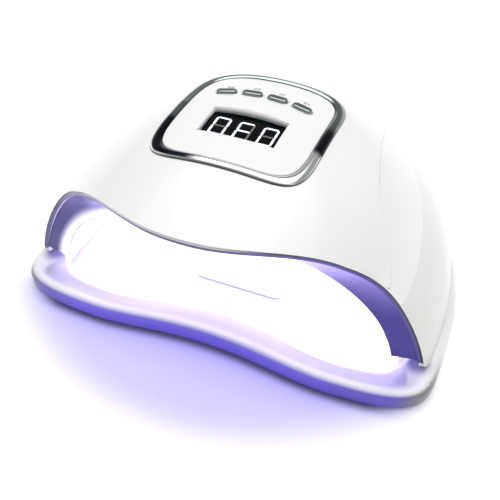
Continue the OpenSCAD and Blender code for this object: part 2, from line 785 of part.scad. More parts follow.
// Power inlet in the back of the skirt
inlet_d = 8;
inlet_bore = 5.6;
inlet_pin = 2;
inlet_deep = 9.5;
inlet_w = 9;
inlet_h = 11;
inlet_l = 13;
inlet_z = frame_top + inlet_h / 2;
inlet_sunk = 0.4;
inlet_y = dome_y + dome_back * plan_share(inlet_z, 0) - inlet_sunk;
barrel_l = 6;
inlet_wall = 0.8;
module dc_inlet() {
    color([0.1, 0.1, 0.11]) {
        difference() {
            union() {
                translate([-inlet_w / 2, inlet_y - barrel_l - inlet_l, frame_top])
                    cube([inlet_w, inlet_l, inlet_h]);
                translate([0, inlet_y - barrel_l - 1, inlet_z]) rotate([-90, 0, 0])
                    cylinder(d = inlet_d, h = barrel_l + 1);
            }
            translate([0, inlet_y - inlet_deep, inlet_z]) rotate([-90, 0, 0])
                difference() {
                    cylinder(d = inlet_bore, h = inlet_deep + 1);
                    translate([0, 0, -eps]) cylinder(d = inlet_pin, h = inlet_deep - inlet_wall);
                }
        }
    }
}

// Tray: floor, wrist ramp, rim, finger stop and magnet pockets
tray_front_n = 6.5;
tray_back_n = 1.97;
tray_y = (lamp_d - tray_d) / 2;
tray_loop_n = 120;
dip_x = 65;
floor_z = foot_t + floor_t;
under_edge = 1.2;
function tray_pt(a, da, db) =
    let (
        front = sin(a) < 0,
        n = front ? tray_front_n : tray_back_n,
        hw = tray_w / 2 - da,
        b = tray_d / 2 + (front ? dome_y - tray_y : tray_y - dome_y) - db,
        r = pow(pow(abs(cos(a)) / hw, n) + pow(abs(sin(a)) / b, n), -1 / n),
        x = r * cos(a)
    )
    [x, dome_y + r * sin(a) + (front ? front_dip * pow(max(0, 1 - pow(x / dip_x, 2)), 2) : 0)];
ramp_d = 18;
ramp_more = 12;
ramp_x = 45;
crest_from = 3;
crest_side_from = 4;
crest_back_from = 1.8;
crest_front = 4.5;
// How far the crest of the rim reaches in under the housing, and the slope from there to the floor
rim_under = 10.95;
rim_slope = 3;
round_steps = 4;
round_n = 1.3;
crest_side = dome_side + rim_under;
inner_side = crest_side + rim_slope;
rise_ahead = 13;
rise_y0 = mouth_y - rise_ahead;
rise_l = 15;
function side_share(y) = step01((y - rise_y0) / rise_l);
// Loop drawn in by d at the front, the sides and the back, from its height at the front to that at the sides
function tray_loop(d, low, high) = [
    for (k = [0:tray_loop_n - 1])
        let (
            a = 360 * k / tray_loop_n,
            s = side_share(tray_pt(a, 0, 0)[1]),
            p = tray_pt(a, mix(d[0], d[1], s), sin(a) < 0 ? mix(d[0], d[1], s) : mix(d[1], d[2], sin(a)))
        )
        lift(p, mix(low, high, s))
];
function floor_loop() = [
    for (k = [0:tray_loop_n - 1])
        let (
            a = 360 * k / tray_loop_n,
            x = tray_pt(a, 0, 0)[0],
            more = sin(a) < 0 ? ramp_d - inner_side + ramp_more * exp(-pow(x / ramp_x, 2)) : 0
        )
        lift(tray_pt(a, inner_side, inner_side + more), floor_z)
];
stop_l = 42;
stop_w = 1.5;
stop_h = 1;
stop_r = 4;
stop_turn = 80;
stop_behind = 26.5;
stop_y = mouth_y + stop_behind;
stop_sunk = 0.4;
module finger_stop() {
    h = stop_h + stop_sunk;
    translate([0, stop_y, floor_z - stop_sunk]) {
        translate([-stop_l / 2, -stop_w / 2, 0]) cube([stop_l, stop_w, h]);
        for (m = [0, 1]) mirror([m, 0, 0]) translate([stop_l / 2, stop_r, 0])
            rotate([0, 0, -90]) rotate_extrude(angle = stop_turn)
                translate([stop_r - stop_w / 2, 0]) square([stop_w, h]);
    }
}
module base_tray() {
    loops = concat(
        [
            tray_loop([under_edge, under_edge, under_edge], foot_t, foot_t),
            tray_loop([0, 0, 0], foot_t + under_edge, foot_t + under_edge)
        ],
        [for (i = [0:round_steps])
            let (c = pow(i / round_steps, round_n), s = sin(90 * i / round_steps))
            tray_loop(
                c * [crest_from, crest_side_from, crest_back_from],
                mix(wall_z, lip_z, s), mix(side_z, rim_z, s)
            )],
        [tray_loop([crest_front, crest_side, crest_side], lip_z, rim_z), floor_loop()]
    );
    color([0.95, 0.95, 0.97])
    difference() {
        union() {
            stack(loops);
            finger_stop();
        }
        at_magnets() translate([0, 0, rim_z - magnet_t - glue_gap]) cylinder(d = magnet_d, h = magnet_t + 1);
    }
}
module tray_magnets() {
    color([0.7, 0.7, 0.72])
    at_magnets() translate([0, 0, rim_z - magnet_t - glue_gap]) cylinder(d = magnet_d, h = magnet_t);
}
foot_angles = [-28, 52];
foot_in = 18;
module tray_feet() {
    color([0.25, 0.25, 0.26])
    for (a = foot_angles) for (m = [0, 1])
        mirror([m, 0, 0]) translate(lift(tray_pt(a, foot_in, foot_in), 0)) cylinder(d = foot_d, h = foot_t);
}

base_tray();
tray_feet();
tray_magnets();
upper_shell();
front_bezel();
reflector();
bottom_frame();
housing_magnets();
housing_screws();
chrome_ring();
control_panel();
button_10();
button_30();
button_60();
button_99();
control_board();
tact_switches();
board_screws();
display_module();
segments_lit();
segments_dim();
led_strip_1();
led_strip_2();
led_strip_3();
led_strip_4();
rear_led_strip();
leds_1();
leds_2();
leds_3();
leds_4();
rear_leds();
driver_board();
driver_parts();
board_standoffs();
presence_sensor();
dc_inlet();
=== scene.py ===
import math

import bmesh
import bpy
from mathutils import Matrix, Vector


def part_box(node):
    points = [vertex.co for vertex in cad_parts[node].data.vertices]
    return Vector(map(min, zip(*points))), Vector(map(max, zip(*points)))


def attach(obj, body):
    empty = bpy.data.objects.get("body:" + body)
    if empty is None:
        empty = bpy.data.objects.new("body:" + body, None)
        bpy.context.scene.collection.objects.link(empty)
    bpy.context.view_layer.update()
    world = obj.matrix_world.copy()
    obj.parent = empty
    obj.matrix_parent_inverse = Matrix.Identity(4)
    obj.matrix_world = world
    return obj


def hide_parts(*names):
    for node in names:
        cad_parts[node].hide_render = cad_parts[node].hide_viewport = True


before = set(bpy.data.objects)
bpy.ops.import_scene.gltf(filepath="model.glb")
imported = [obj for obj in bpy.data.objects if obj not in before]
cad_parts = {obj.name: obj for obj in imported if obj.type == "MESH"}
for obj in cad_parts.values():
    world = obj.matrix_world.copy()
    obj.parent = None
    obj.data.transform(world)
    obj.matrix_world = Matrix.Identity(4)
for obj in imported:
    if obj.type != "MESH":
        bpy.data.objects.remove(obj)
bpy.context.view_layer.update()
MM = 0.001

# ---- Sizes in millimetres, as the housing and the tray are drawn
# HW is a half width, L a length, T a thickness, N an exponent of a rounded outline.
TRAY_W, TRAY_D, LAMP_D = 230.5, 194.0, 209.0
RIM_Z, LIP_Z, WALL_Z, SIDE_Z = 10.5, 11.0, 7.5, 7.0
FOOT_T, FLOOR_Z = 1.4, 4.6
RIM_SHOWN, BACK_SHOWN = 3.05, 0.8
DOME_HW, DOME_H = TRAY_W / 2 - RIM_SHOWN, 106.0
DOME_Y = -0.1555 * LAMP_D
DOME_BACK = LAMP_D / 2 - DOME_Y - BACK_SHOWN
DOME_FRONT = 0.7273 * LAMP_D
PLAN_N, RISE_P, RISE_Q = 2.09, 2.39, 1.64
SHELL_T, SKIRT_Z = 2.6, 10.8
TOE_Z, TOE_L, SKIRT_CROWD, BEZEL_RISE = 18.0, 8.0, 0.8, 2.0
HOOD_Y = -LAMP_D / 2
BROW_L, BROW_HW, BROW_N = 32.7, 0.82 * DOME_HW, 1.13
FLARE, FLARE_X = 0.13, 0.6 * DOME_HW
HOOD_STEPS, SKIRT_STEPS = 128, 216
MOUTH_L, MOUTH_DROP = 35, 36
MOUTH_Y = HOOD_Y + MOUTH_L
CAVITY_HW, CAVITY_H = 0.829 * DOME_HW, DOME_H - MOUTH_DROP
CAVITY_L = DOME_Y + DOME_BACK * 0.8 - MOUTH_Y
CAVITY_STRAIGHT = 0.548 * CAVITY_L
CAVITY_END = CAVITY_L - CAVITY_STRAIGHT
CAVITY_N, CROWN_SHARE, ARCH_STEPS = 2.5, 0.3, 12
BEZEL_T, BEZEL_BACK, BEZEL_GAP = 2.0, 1.0, 0.2
RING_Y, RING_HW, RING_BACK_L, RING_FRONT_L, RING_W = -20.5, 40.0, 41.0, 45.2, 4.8
RING_BACK_N, RING_FRONT_N = 4.5, 5.4
PANEL_T, PANEL_UP, PANEL_GAP = 2.6, 0.2, 0.3
BOARD_TOP, DISPLAY_Z = 95.0, 102.2
BUTTON_L, BUTTON_W, BUTTON_UP = 10.6, 4.6, 1.5


def spow(v, e):
    return math.copysign(abs(v) ** e, v)


def step01(v):
    c = min(1.0, max(0.0, v))
    return c * c * (3 - 2 * c)


def mix(a, b, s):
    return a + (b - a) * s


def through(places, v):
    """Smooth curve through a few places (v, value) in rising order, held at its ends."""
    if v <= places[0][0]:
        return places[0][1]
    for i in range(len(places) - 1):
        (v0, a), (v1, b) = places[i], places[i + 1]
        if v <= v1:
            before = places[max(0, i - 1)]
            after = places[min(len(places) - 1, i + 2)]
            span = v1 - v0
            m0 = (b - before[1]) / (v1 - before[0]) * span
            m1 = (after[1] - a) / (after[0] - v0) * span
            f = (v - v0) / span
            return (
                a * (2 * f**3 - 3 * f**2 + 1)
                + b * (3 * f**2 - 2 * f**3)
                + m0 * (f**3 - 2 * f**2 + f)
                + m1 * (f**3 - f**2)
            )
    return places[-1][1]


# ---- The dome
def top_z(x, y, t=0.0):
    """Height of the dome above a place, or of its inside where the wall is t thick."""
    reach = (DOME_FRONT if y < DOME_Y else DOME_BACK) - t
    r = (abs(x) / (DOME_HW - t)) ** PLAN_N + (abs(y - DOME_Y) / reach) ** PLAN_N
    return (DOME_H - t) * max(0.0, 1 - r ** (RISE_P / PLAN_N)) ** (1 / RISE_Q)


def plan_share(z, t):
    return (1 - (z / (DOME_H - t)) ** RISE_Q) ** (1 / RISE_P)


def plan_pt(a, z, t):
    """Point of the dome's outline at a height."""
    s = plan_share(z, t)
    reach = (DOME_FRONT if math.sin(a) < 0 else DOME_BACK) - t
    x = (DOME_HW - t) * s * spow(math.cos(a), 2 / PLAN_N)
    return x, DOME_Y + reach * s * spow(math.sin(a), 2 / PLAN_N)


def edge_y(x):
    """The hood's edge in plan."""
    swing = BROW_L * step01((abs(x) / BROW_HW) ** BROW_N)
    return HOOD_Y + swing + FLARE * max(0.0, abs(x) - FLARE_X)


def foot_x(t):
    """Where the hood's edge meets the dome's outline at the toe, found in three rounds."""
    x = DOME_HW - 5
    for _ in range(3):
        s = plan_share(TOE_Z, t)
        v = s**PLAN_N - ((DOME_Y - edge_y(x)) / (DOME_FRONT - t)) ** PLAN_N
        x = (DOME_HW - t) * v ** (1 / PLAN_N)
    return x


def toe_share(d):
    """Share of the toe's height that is left at a distance behind its tip."""
    return 1 - math.sqrt(1 - (1 - min(1.0, max(0.0, d / TOE_L))) ** 2)


def edge_loop(t):
    """Edge of the housing in plan: along the hood from left to right, then round the skirt."""
    reach = foot_x(t)
    loop = []
    for k in range(HOOD_STEPS):
        x = reach * spow(math.sin(math.pi * k / HOOD_STEPS - math.pi / 2), 0.8)
        loop.append((x, edge_y(x * DOME_HW / (DOME_HW - t))))
    v = (DOME_Y - edge_y(reach)) / ((DOME_FRONT - t) * plan_share(TOE_Z, t))
    start = -math.asin(v ** (PLAN_N / 2))
    for k in range(SKIRT_STEPS):
        u = k / SKIRT_STEPS
        u -= SKIRT_CROWD * math.sin(2 * math.pi * u) / 2 / math.pi
        a = start + (math.pi - 2 * start) * u
        behind = plan_pt(a, SKIRT_Z, t)[1] - edge_y(reach)
        loop.append(plan_pt(a, mix(SKIRT_Z, TOE_Z, toe_share(behind)), t))
    return loop


def ring_pt(a, d):
    """Outline of the chrome ring in plan, drawn in by d."""
    c, s = math.cos(a), math.sin(a)
    n, reach = (RING_FRONT_N, RING_FRONT_L) if s < 0 else (RING_BACK_N, RING_BACK_L)
    r = ((abs(c) / (RING_HW - d)) ** n + (abs(s) / (reach - d)) ** n) ** (-1 / n)
    return r * c, RING_Y + r * s


# ---- Working in Blender as by hand
def clear_selection():
    bpy.ops.object.select_all(action="DESELECT")


def merge_and_turn():
    """Merges doubles and turns the faces outwards."""
    bpy.ops.object.mode_set(mode="EDIT")
    bpy.ops.mesh.select_all(action="SELECT")
    bpy.ops.mesh.remove_doubles(threshold=2e-6)
    bpy.ops.mesh.normals_make_consistent(inside=False)
    bpy.ops.object.mode_set(mode="OBJECT")


def smooth(angle):
    """Smooths what is not a real edge."""
    bpy.ops.object.shade_smooth_by_angle(angle=math.radians(angle))


def skin_of(name, rows, joined=False, angle=40, sharp_rows=(), marks=None):
    """A circle is added, and every further row is extruded from the last and set in its place.
    Rows are closed loops of points in millimetres. A joined skin returns to its first row.
    Marks are values for the finish, by their name and then row by row."""
    marks = marks or {}
    clear_selection()
    bpy.ops.mesh.primitive_circle_add(vertices=len(rows[0]), radius=0.1)
    piece = bpy.context.object
    piece.name = name
    piece.data.name = name
    bpy.ops.object.mode_set(mode="EDIT")
    bpy.ops.mesh.select_mode(type="VERT")
    bpy.ops.mesh.select_all(action="SELECT")
    mesh = bmesh.from_edit_mesh(piece.data)
    mesh.verts.layers.int.new("place")
    for mark in marks:
        mesh.verts.layers.float.new(mark)
    place = mesh.verts.layers.int["place"]
    for i, v in enumerate(mesh.verts):
        v[place] = i
    for number, row in enumerate([*rows, rows[0]] if joined else rows):
        if number:
            bpy.ops.mesh.extrude_region_move()
        mesh = bmesh.from_edit_mesh(piece.data)
        place = mesh.verts.layers.int["place"]
        for v in mesh.verts:
            if v.select:
                v.co = Vector(row[v[place]]) * MM
                for mark, values in marks.items():
                    v[mesh.verts.layers.float[mark]] = values[number % len(rows)][v[place]]
        if number in sharp_rows:
            bpy.ops.mesh.mark_sharp()
    bmesh.update_edit_mesh(piece.data)
    bpy.ops.object.mode_set(mode="OBJECT")
    merge_and_turn()
    smooth(angle)
    return piece


def grid_of(name, rows):
    """A grid is added and its points are set in place: an open sheet of rows by columns."""
    clear_selection()
    bpy.ops.mesh.primitive_grid_add(
        x_subdivisions=len(rows[0]) - 1, y_subdivisions=len(rows) - 1, size=1
    )
    piece = bpy.context.object
    piece.name = name
    piece.data.name = name
    flat = [p for row in rows for p in row]
    for v, p in zip(piece.data.vertices, flat):
        v.co = Vector(p) * MM
    return piece


def point_row(row, centre):
    return [centre] * len(row)


def middle_of(row):
    return tuple(sum(c) / len(row) for c in zip(*row))


def closed(rows, first=None, last=None):
    """Rows closed to a point at both ends: a given one, or the middle of the row at that end."""
    first, last = first or middle_of(rows[0]), last or middle_of(rows[-1])
    return [point_row(rows[0], first), *rows, point_row(rows[-1], last)]


def join_to(piece, others):
    clear_selection()
    for o in others:
        o.select_set(True)
    piece.select_set(True)
    bpy.context.view_layer.objects.active = piece
    bpy.ops.object.join()
    return piece


def rod(radius, z0, z1, x, y, sides=48):
    clear_selection()
    bpy.ops.mesh.primitive_cylinder_add(
        vertices=sides, radius=radius * MM, depth=(z1 - z0) * MM,
        location=(x * MM, y * MM, (z0 + z1) / 2 * MM),
    )
    piece = bpy.context.object
    bpy.ops.object.transform_apply(location=True, rotation=True, scale=True)
    return piece


def block(x0, x1, y0, y1, z0, z1):
    clear_selection()
    bpy.ops.mesh.primitive_cube_add(size=1, location=(0, 0, 0))
    piece = bpy.context.object
    low, high = (x0, y0, z0), (x1, y1, z1)
    for v in piece.data.vertices:
        v.co = Vector([(high[i] if v.co[i] > 0 else low[i]) * MM for i in range(3)])
    return piece


def cut_with(piece, cutters):
    for cutter in cutters:
        clear_selection()
        piece.select_set(True)
        bpy.context.view_layer.objects.active = piece
        cut = piece.modifiers.new("cut", "BOOLEAN")
        cut.operation, cut.solver, cut.object = "DIFFERENCE", "EXACT", cutter
        bpy.ops.object.modifier_apply(modifier=cut.name)
        bpy.data.objects.remove(cutter)


# ---- Finishes
PATCHES = (0.3, 0.7)  # the part of a noise's range over which a finish changes
PEEL_DEPTH, MIRROR_DEPTH = 0.0002, 0.0001  # depths of the finest relief, in metres


def put(tree, kind, values=None, **settings):
    """Adds a shader node. Each value is set on its input, or linked to it if it is a socket."""
    made = tree.nodes.new("ShaderNode" + kind)
    for key, value in settings.items():
        setattr(made, key, value)
    for key, value in (values or {}).items():
        target = made.inputs[key]
        if isinstance(value, bpy.types.NodeSocket):
            tree.links.new(value, target)
        else:
            target.default_value = value
    return made


def maths(tree, operation, a, b=0.0):
    return put(tree, "Math", {0: a, 1: b}, operation=operation).outputs[0]


def times(tree, a, b):
    return maths(tree, "MULTIPLY", a, b)


def size_of(tree, value):
    """The value without its sign."""
    return maths(tree, "ABSOLUTE", value)


def ramp(tree, value, v0, v1, a=0.0, b=1.0):
    """Smooth change of a value from a at v0 to b at v1."""
    values = {"Value": value, "From Min": v0, "From Max": v1, "To Min": a, "To Max": b}
    return put(tree, "MapRange", values, interpolation_type="SMOOTHSTEP").outputs["Result"]


def tint(tree, factor, a, b):
    """Colour a where the factor is 0 and colour b where it is 1."""
    a, b = (c if isinstance(c, bpy.types.NodeSocket) else (*c, 1.0) for c in (a, b))
    return put(tree, "Mix", {0: factor, 6: a, 7: b}, data_type="RGBA").outputs[2]


def finish(name, metallic=0.0, coat=0.0, specular=0.5):
    made = bpy.data.materials.new(name)
    made.use_nodes = True
    surface = made.node_tree.nodes["Principled BSDF"]
    surface.inputs["Metallic"].default_value = metallic
    surface.inputs["IOR"].default_value = 1.5
    surface.inputs["Coat Weight"].default_value = coat
    surface.inputs["Coat Roughness"].default_value = 0.05
    surface.inputs["Specular IOR Level"].default_value = specular
    return made, made.node_tree, surface


def feed(tree, value, surface, *sockets):
    for socket in sockets:
        tree.links.new(value, surface.inputs[socket])


def whereabouts(tree):
    """The piece's own coordinates, in metres."""
    return put(tree, "TexCoord").outputs["Object"]


def place_of(tree):
    return put(tree, "SeparateXYZ", {0: whereabouts(tree)}).outputs


def mark_of(tree, name):
    return put(tree, "Attribute", attribute_name=name).outputs["Fac"]


def grain(tree, scale, detail=3.0, stretch=None):
    """Noise over the piece."""
    where = whereabouts(tree)
    if stretch:
        where = put(tree, "Mapping", {"Vector": where, "Scale": stretch}).outputs["Vector"]
    made = put(tree, "TexNoise", {"Vector": where, "Scale": scale, "Detail": detail})
    return made.outputs["Fac"]


def patchy(tree, scale, a, b):
    """Two close colours in patches."""
    return tint(tree, ramp(tree, grain(tree, scale), *PATCHES), a, b)


def roughen(tree, surface, scale, least, most, detail=3.0, stretch=None):
    """A roughness that varies over the piece."""
    level = ramp(tree, grain(tree, scale, detail, stretch), *PATCHES, least, most)
    feed(tree, level, surface, "Roughness")


def relief(tree, surface, height, strength, distance):
    made = put(tree, "Bump", {"Height": height, "Strength": strength, "Distance": distance})
    feed(tree, made.outputs["Normal"], surface, "Normal")


def orange_peel(tree, surface, scale, strength, depth=PEEL_DEPTH):
    relief(tree, surface, grain(tree, scale, 2.0), strength, depth)


def oval(tree, x, y, middle, half_w, half_d, power):
    """1 on an oval round the lamp, less within it and more outside."""
    across = maths(tree, "POWER", size_of(tree, maths(tree, "DIVIDE", x, half_w)), power)
    along = maths(tree, "DIVIDE", maths(tree, "SUBTRACT", y, middle), half_d)
    along = maths(tree, "POWER", size_of(tree, along), power)
    return maths(tree, "POWER", maths(tree, "ADD", across, along), 1 / power)


def moulded(name, light, dark, rough, peel=0.06, peel_scale=420.0, **more):
    """Moulded plastic: two close tones, a roughness that varies, and a fine orange peel."""
    made, tree, surface = finish(name, **more)
    tone = tint(tree, ramp(tree, grain(tree, 26.0), 0.35, 0.65), light, dark)
    feed(tree, tone, surface, "Base Color")
    roughen(tree, surface, 60.0, *rough)
    orange_peel(tree, surface, peel_scale, peel)
    return made, tree, surface, tone


def plastic(name, light, dark, rough, **more):
    """Moulded plastic that is the same all over."""
    return moulded(name, light, dark, rough, **more)[0]


def shell_gloss():
    """White gloss, with painted shade below the leaf and a painted shadow line at the step of the
    upper crease. The hood's edge is painted with the cavity's violet light towards the cavity, and
    has a dark line along its outside, violet at the left and pale in its middle."""
    made, tree, surface, tone = moulded(
        "shell_gloss_white", (0.92, 0.92, 0.925), (0.905, 0.905, 0.91), (0.16, 0.22),
        peel=0.03, coat=0.3,
    )
    seam, side, edge_band = (mark_of(tree, name) for name in ("seam", "side", "edge_band"))
    x, _, z = place_of(tree)
    # Painted shade below the leaf, darker towards the bottom of the dome.
    shade = times(tree, side, ramp(tree, z, 0.095, 0.02, 0.35, 1.0))
    white = tint(tree, shade, tone, (0.76, 0.765, 0.73))
    # Painted shadow line along the step where the leaf sinks below the dome.
    line = tint(tree, times(tree, seam, 0.45), white, (0.35, 0.36, 0.36))
    middle = ramp(tree, size_of(tree, maths(tree, "ADD", x, 0.015)), 0.055, 0.030)
    # Painted violet light from the cavity on the inside of the hood's edge.
    inner_edge = tint(tree, ramp(tree, x, -0.05, 0.06), (0.11, 0.09, 0.27), (0.10, 0.08, 0.40))
    inner_edge = tint(tree, middle, inner_edge, (0.14, 0.11, 0.24))
    # Dark line along the outside of the hood's edge, with painted violet light at its left and pale
    # in its middle.
    slate = tint(tree, ramp(tree, x, -0.06, 0.02), (0.06, 0.045, 0.20), (0.035, 0.035, 0.05))
    slate = tint(tree, middle, slate, (0.66, 0.66, 0.68))
    edge = tint(tree, ramp(tree, edge_band, 0.6, 0.9), inner_edge, slate)
    feed(tree, tint(tree, ramp(tree, edge_band, 0.1, 0.45), line, edge), surface, "Base Color")
    return made


def tray_gloss():
    """White gloss with the cavity's light painted on: painted lavender light on the front slope,
    darker towards the right corner, a painted shadow at each of the housing's front feet, and
    painted violet light on the front wall, where it glows a little though it is no lamp."""
    made, tree, surface, tone = moulded(
        "tray_gloss_white", (0.88, 0.88, 0.90), (0.865, 0.865, 0.89), (0.24, 0.27),
        peel=0.03, coat=0.2,
    )
    x, y, _ = place_of(tree)
    outer, slope = mark_of(tree, "outer"), mark_of(tree, "slope")
    # Painted lavender light on the slope: palest in the middle, darker towards the right and at its
    # corner.
    right = ramp(tree, x, 0.03, 0.10)
    middle = ramp(tree, size_of(tree, x), 0.075, 0.02)
    corner = ramp(tree, size_of(tree, x), 0.096, 0.111)
    lavender = tint(tree, right, (0.42, 0.40, 0.43), (0.31, 0.28, 0.42))
    lavender = tint(tree, middle, lavender, (0.47, 0.445, 0.47))
    lavender = tint(tree, times(tree, corner, right), lavender, (0.15, 0.14, 0.18))
    glow = tint(tree, times(tree, slope, ramp(tree, y, -0.055, -0.075)), tone, lavender)
    # Painted shadow under each of the housing's front feet.
    feet = []
    for foot in ((-0.1035, -0.0615, 0.0105), (0.1035, -0.0615, 0.0105)):
        ends = {0: whereabouts(tree), 1: foot}
        away = put(tree, "VectorMath", ends, operation="DISTANCE").outputs["Value"]
        feet.append(ramp(tree, away, 0.010, 0.002))
    shadow = maths(tree, "MAXIMUM", *feet)
    glow = tint(tree, times(tree, shadow, 0.85), glow, (0.10, 0.08, 0.26))
    # Painted violet light on the front wall, greyer at its corners, with a painted glow.
    violet = tint(tree, right, (0.19, 0.145, 0.72), (0.105, 0.08, 0.42))
    violet = tint(tree, ramp(tree, x, -0.07, -0.10), violet, (0.15, 0.125, 0.36))
    violet = tint(tree, corner, violet, (0.22, 0.21, 0.225))
    wall = times(tree, ramp(tree, y, -0.045, -0.075), outer)
    feed(tree, tint(tree, wall, glow, violet), surface, "Base Color")
    surface.inputs["Emission Color"].default_value = (0.16, 0.11, 0.85, 1)
    shine = times(tree, wall, maths(tree, "SUBTRACT", 0.20, times(tree, corner, 0.20)))
    feed(tree, shine, surface, "Emission Strength")
    return made


def bezel_gloss():
    """Bezel painted with the cavity's violet light, pale towards the crown and greyer at the left,
    with painted white light along the left side of the mouth; it glows a little though it is no
    lamp."""
    made, tree, surface = finish("bezel_violet", specular=0.15)
    x, _, z = place_of(tree)
    reach = mark_of(tree, "to_mouth")
    rise = maths(tree, "ADD", z, times(tree, grain(tree, 40.0), 0.006))
    # Painted violet light: deep below, pale towards the crown, greyer at the left.
    right = ramp(tree, x, -0.02, 0.05)
    deep = tint(tree, right, (0.10, 0.085, 0.28), (0.085, 0.068, 0.32))
    pale = tint(tree, right, (0.17, 0.145, 0.42), (0.42, 0.345, 0.86))
    colour = tint(tree, ramp(tree, rise, 0.046, 0.085), deep, pale)
    # Painted white light along the left side of the mouth, which also glows.
    white = times(tree, ramp(tree, reach, 0.45, 0.95), ramp(tree, x, 0.0, -0.05))
    colour = tint(tree, white, colour, (0.86, 0.84, 1.0))
    feed(tree, colour, surface, "Base Color", "Emission Color")
    feed(tree, maths(tree, "ADD", 0.22, times(tree, white, 0.6)), surface, "Emission Strength")
    roughen(tree, surface, 70.0, 0.18, 0.28)
    orange_peel(tree, surface, 380.0, 0.04)
    return made


def cavity_glow():
    """The lit inside of the cavity: violet light so strong that it shows white."""
    made, tree, surface = finish("cavity_glow")
    y = place_of(tree)[1]
    tone = patchy(tree, 30.0, (0.84, 0.83, 0.90), (0.82, 0.81, 0.88))
    feed(tree, tone, surface, "Base Color")
    roughen(tree, surface, 90.0, 0.3, 0.4)
    surface.inputs["Emission Color"].default_value = (0.66, 0.61, 1.0, 1)
    feed(tree, ramp(tree, y, -0.0690, -0.0655, 1.4, 2.3), surface, "Emission Strength")
    orange_peel(tree, surface, 300.0, 0.05)
    return made


def mirror_metal(name, light, dark, rough, streak=(1, 1, 1)):
    made, tree, surface = finish(name, metallic=1.0)
    feed(tree, patchy(tree, 50.0, light, dark), surface, "Base Color")
    roughen(tree, surface, 160.0, *rough, detail=4.0, stretch=streak)
    orange_peel(tree, surface, 700.0, 0.02, MIRROR_DEPTH)
    return made


def ring_mirror():
    """Chrome with painted reflections: a dark room painted on both sides, a grey one behind and a
    bright one in front, and dark along both margins of its section. The turn round the ring is in
    radians: 0 at its right, and positive at its back."""
    made, tree, surface = finish("ring_chrome", metallic=1.0)
    x, y, _ = place_of(tree)
    across = mark_of(tree, "across")
    turn = maths(tree, "ARCTAN2", maths(tree, "SUBTRACT", y, RING_Y * MM), x)
    bright = patchy(tree, 50.0, (0.84, 0.85, 0.86), (0.80, 0.82, 0.83))
    grey = tint(tree, ramp(tree, turn, 0.6, 1.1), (0.22, 0.25, 0.245), (0.36, 0.395, 0.39))
    grey = tint(tree, ramp(tree, turn, 2.5, 2.9), grey, (0.40, 0.435, 0.43))
    back = maths(tree, "MAXIMUM", ramp(tree, turn, 0.0, 0.35), ramp(tree, turn, -2.6, -2.9))
    colour = tint(tree, back, bright, grey)
    # Painted reflections of the dark room at the left and right.
    left = times(tree, ramp(tree, turn, -2.92, -2.72), ramp(tree, turn, -1.72, -1.92))
    left = times(tree, left, ramp(tree, across, 0.12, 0.20))
    right = times(tree, ramp(tree, turn, -0.46, -0.36), ramp(tree, turn, 0.42, 0.02))
    margin = size_of(tree, maths(tree, "SUBTRACT", across, 0.5))
    dark = maths(tree, "MAXIMUM", left, right)
    dark = maths(tree, "MAXIMUM", dark, ramp(tree, margin, 0.43, 0.48, 0.0, 0.9))
    feed(tree, tint(tree, dark, colour, (0.012, 0.014, 0.022)), surface, "Base Color")
    roughen(tree, surface, 160.0, 0.05, 0.09, detail=4.0)
    orange_peel(tree, surface, 700.0, 0.02, MIRROR_DEPTH)
    return made


def lit(name, colour, strength, weaker):
    """A lit lens or segment, a little brighter in patches."""
    made, tree, surface = finish(name)
    dimmer = tuple(c * 0.92 for c in colour)
    feed(tree, patchy(tree, 500.0, colour, dimmer), surface, "Emission Color")
    surface.inputs["Base Color"].default_value = (*colour, 1)
    level = ramp(tree, grain(tree, 240.0), *PATCHES, strength, weaker)
    feed(tree, level, surface, "Emission Strength")
    roughen(tree, surface, 120.0, 0.15, 0.25)
    return made


def circuit_board(name, mask, track):
    """Solder mask over tracks that run in straight lines."""
    made, tree, surface = finish(name, coat=0.3)
    tracks = put(tree, "TexBrick", {
        "Vector": whereabouts(tree), "Scale": 240.0, "Mortar Size": 0.06, "Brick Width": 0.9,
    })
    patch = times(tree, tracks.outputs["Fac"], ramp(tree, grain(tree, 90.0), 0.45, 0.55))
    feed(tree, tint(tree, patch, mask, track), surface, "Base Color")
    roughen(tree, surface, 200.0, 0.28, 0.4)
    relief(tree, surface, patch, 0.3, 0.00005)
    return made


shell_white = shell_gloss()
tray_white = tray_gloss()
bezel_violet = bezel_gloss()
cavity_light = cavity_glow()
panel_white = plastic(
    "panel_white", (0.90, 0.90, 0.905), (0.885, 0.885, 0.89), (0.34, 0.42),
    peel=0.05, specular=0.22,
)
ring_chrome = ring_mirror()
button_chrome = mirror_metal(
    "button_chrome", (0.30, 0.33, 0.325), (0.25, 0.28, 0.275), (0.10, 0.16)
)
magnet_nickel = mirror_metal(
    "magnet_nickel", (0.62, 0.61, 0.58), (0.55, 0.54, 0.51), (0.18, 0.32)
)
screw_zinc = mirror_metal(
    "screw_zinc", (0.56, 0.57, 0.60), (0.44, 0.45, 0.48), (0.25, 0.42), (1, 1, 4)
)
standoff_brass = mirror_metal(
    "standoff_brass", (0.72, 0.55, 0.24), (0.62, 0.46, 0.18), (0.22, 0.35), (1, 1, 4)
)
frame_white = plastic(
    "frame_satin_white", (0.74, 0.74, 0.76), (0.70, 0.70, 0.73), (0.42, 0.55),
    peel=0.25, peel_scale=900.0,
)
foot_rubber = plastic(
    "foot_rubber", (0.045, 0.045, 0.048), (0.03, 0.03, 0.033), (0.75, 0.9),
    peel=0.4, peel_scale=1500.0,
)
part_black = plastic(
    "part_black", (0.035, 0.035, 0.038), (0.02, 0.02, 0.022), (0.38, 0.5),
    peel=0.2, peel_scale=1200.0,
)
switch_black = plastic(
    "switch_black", (0.05, 0.05, 0.052), (0.03, 0.03, 0.032), (0.45, 0.6),
    peel=0.2, peel_scale=1300.0,
)
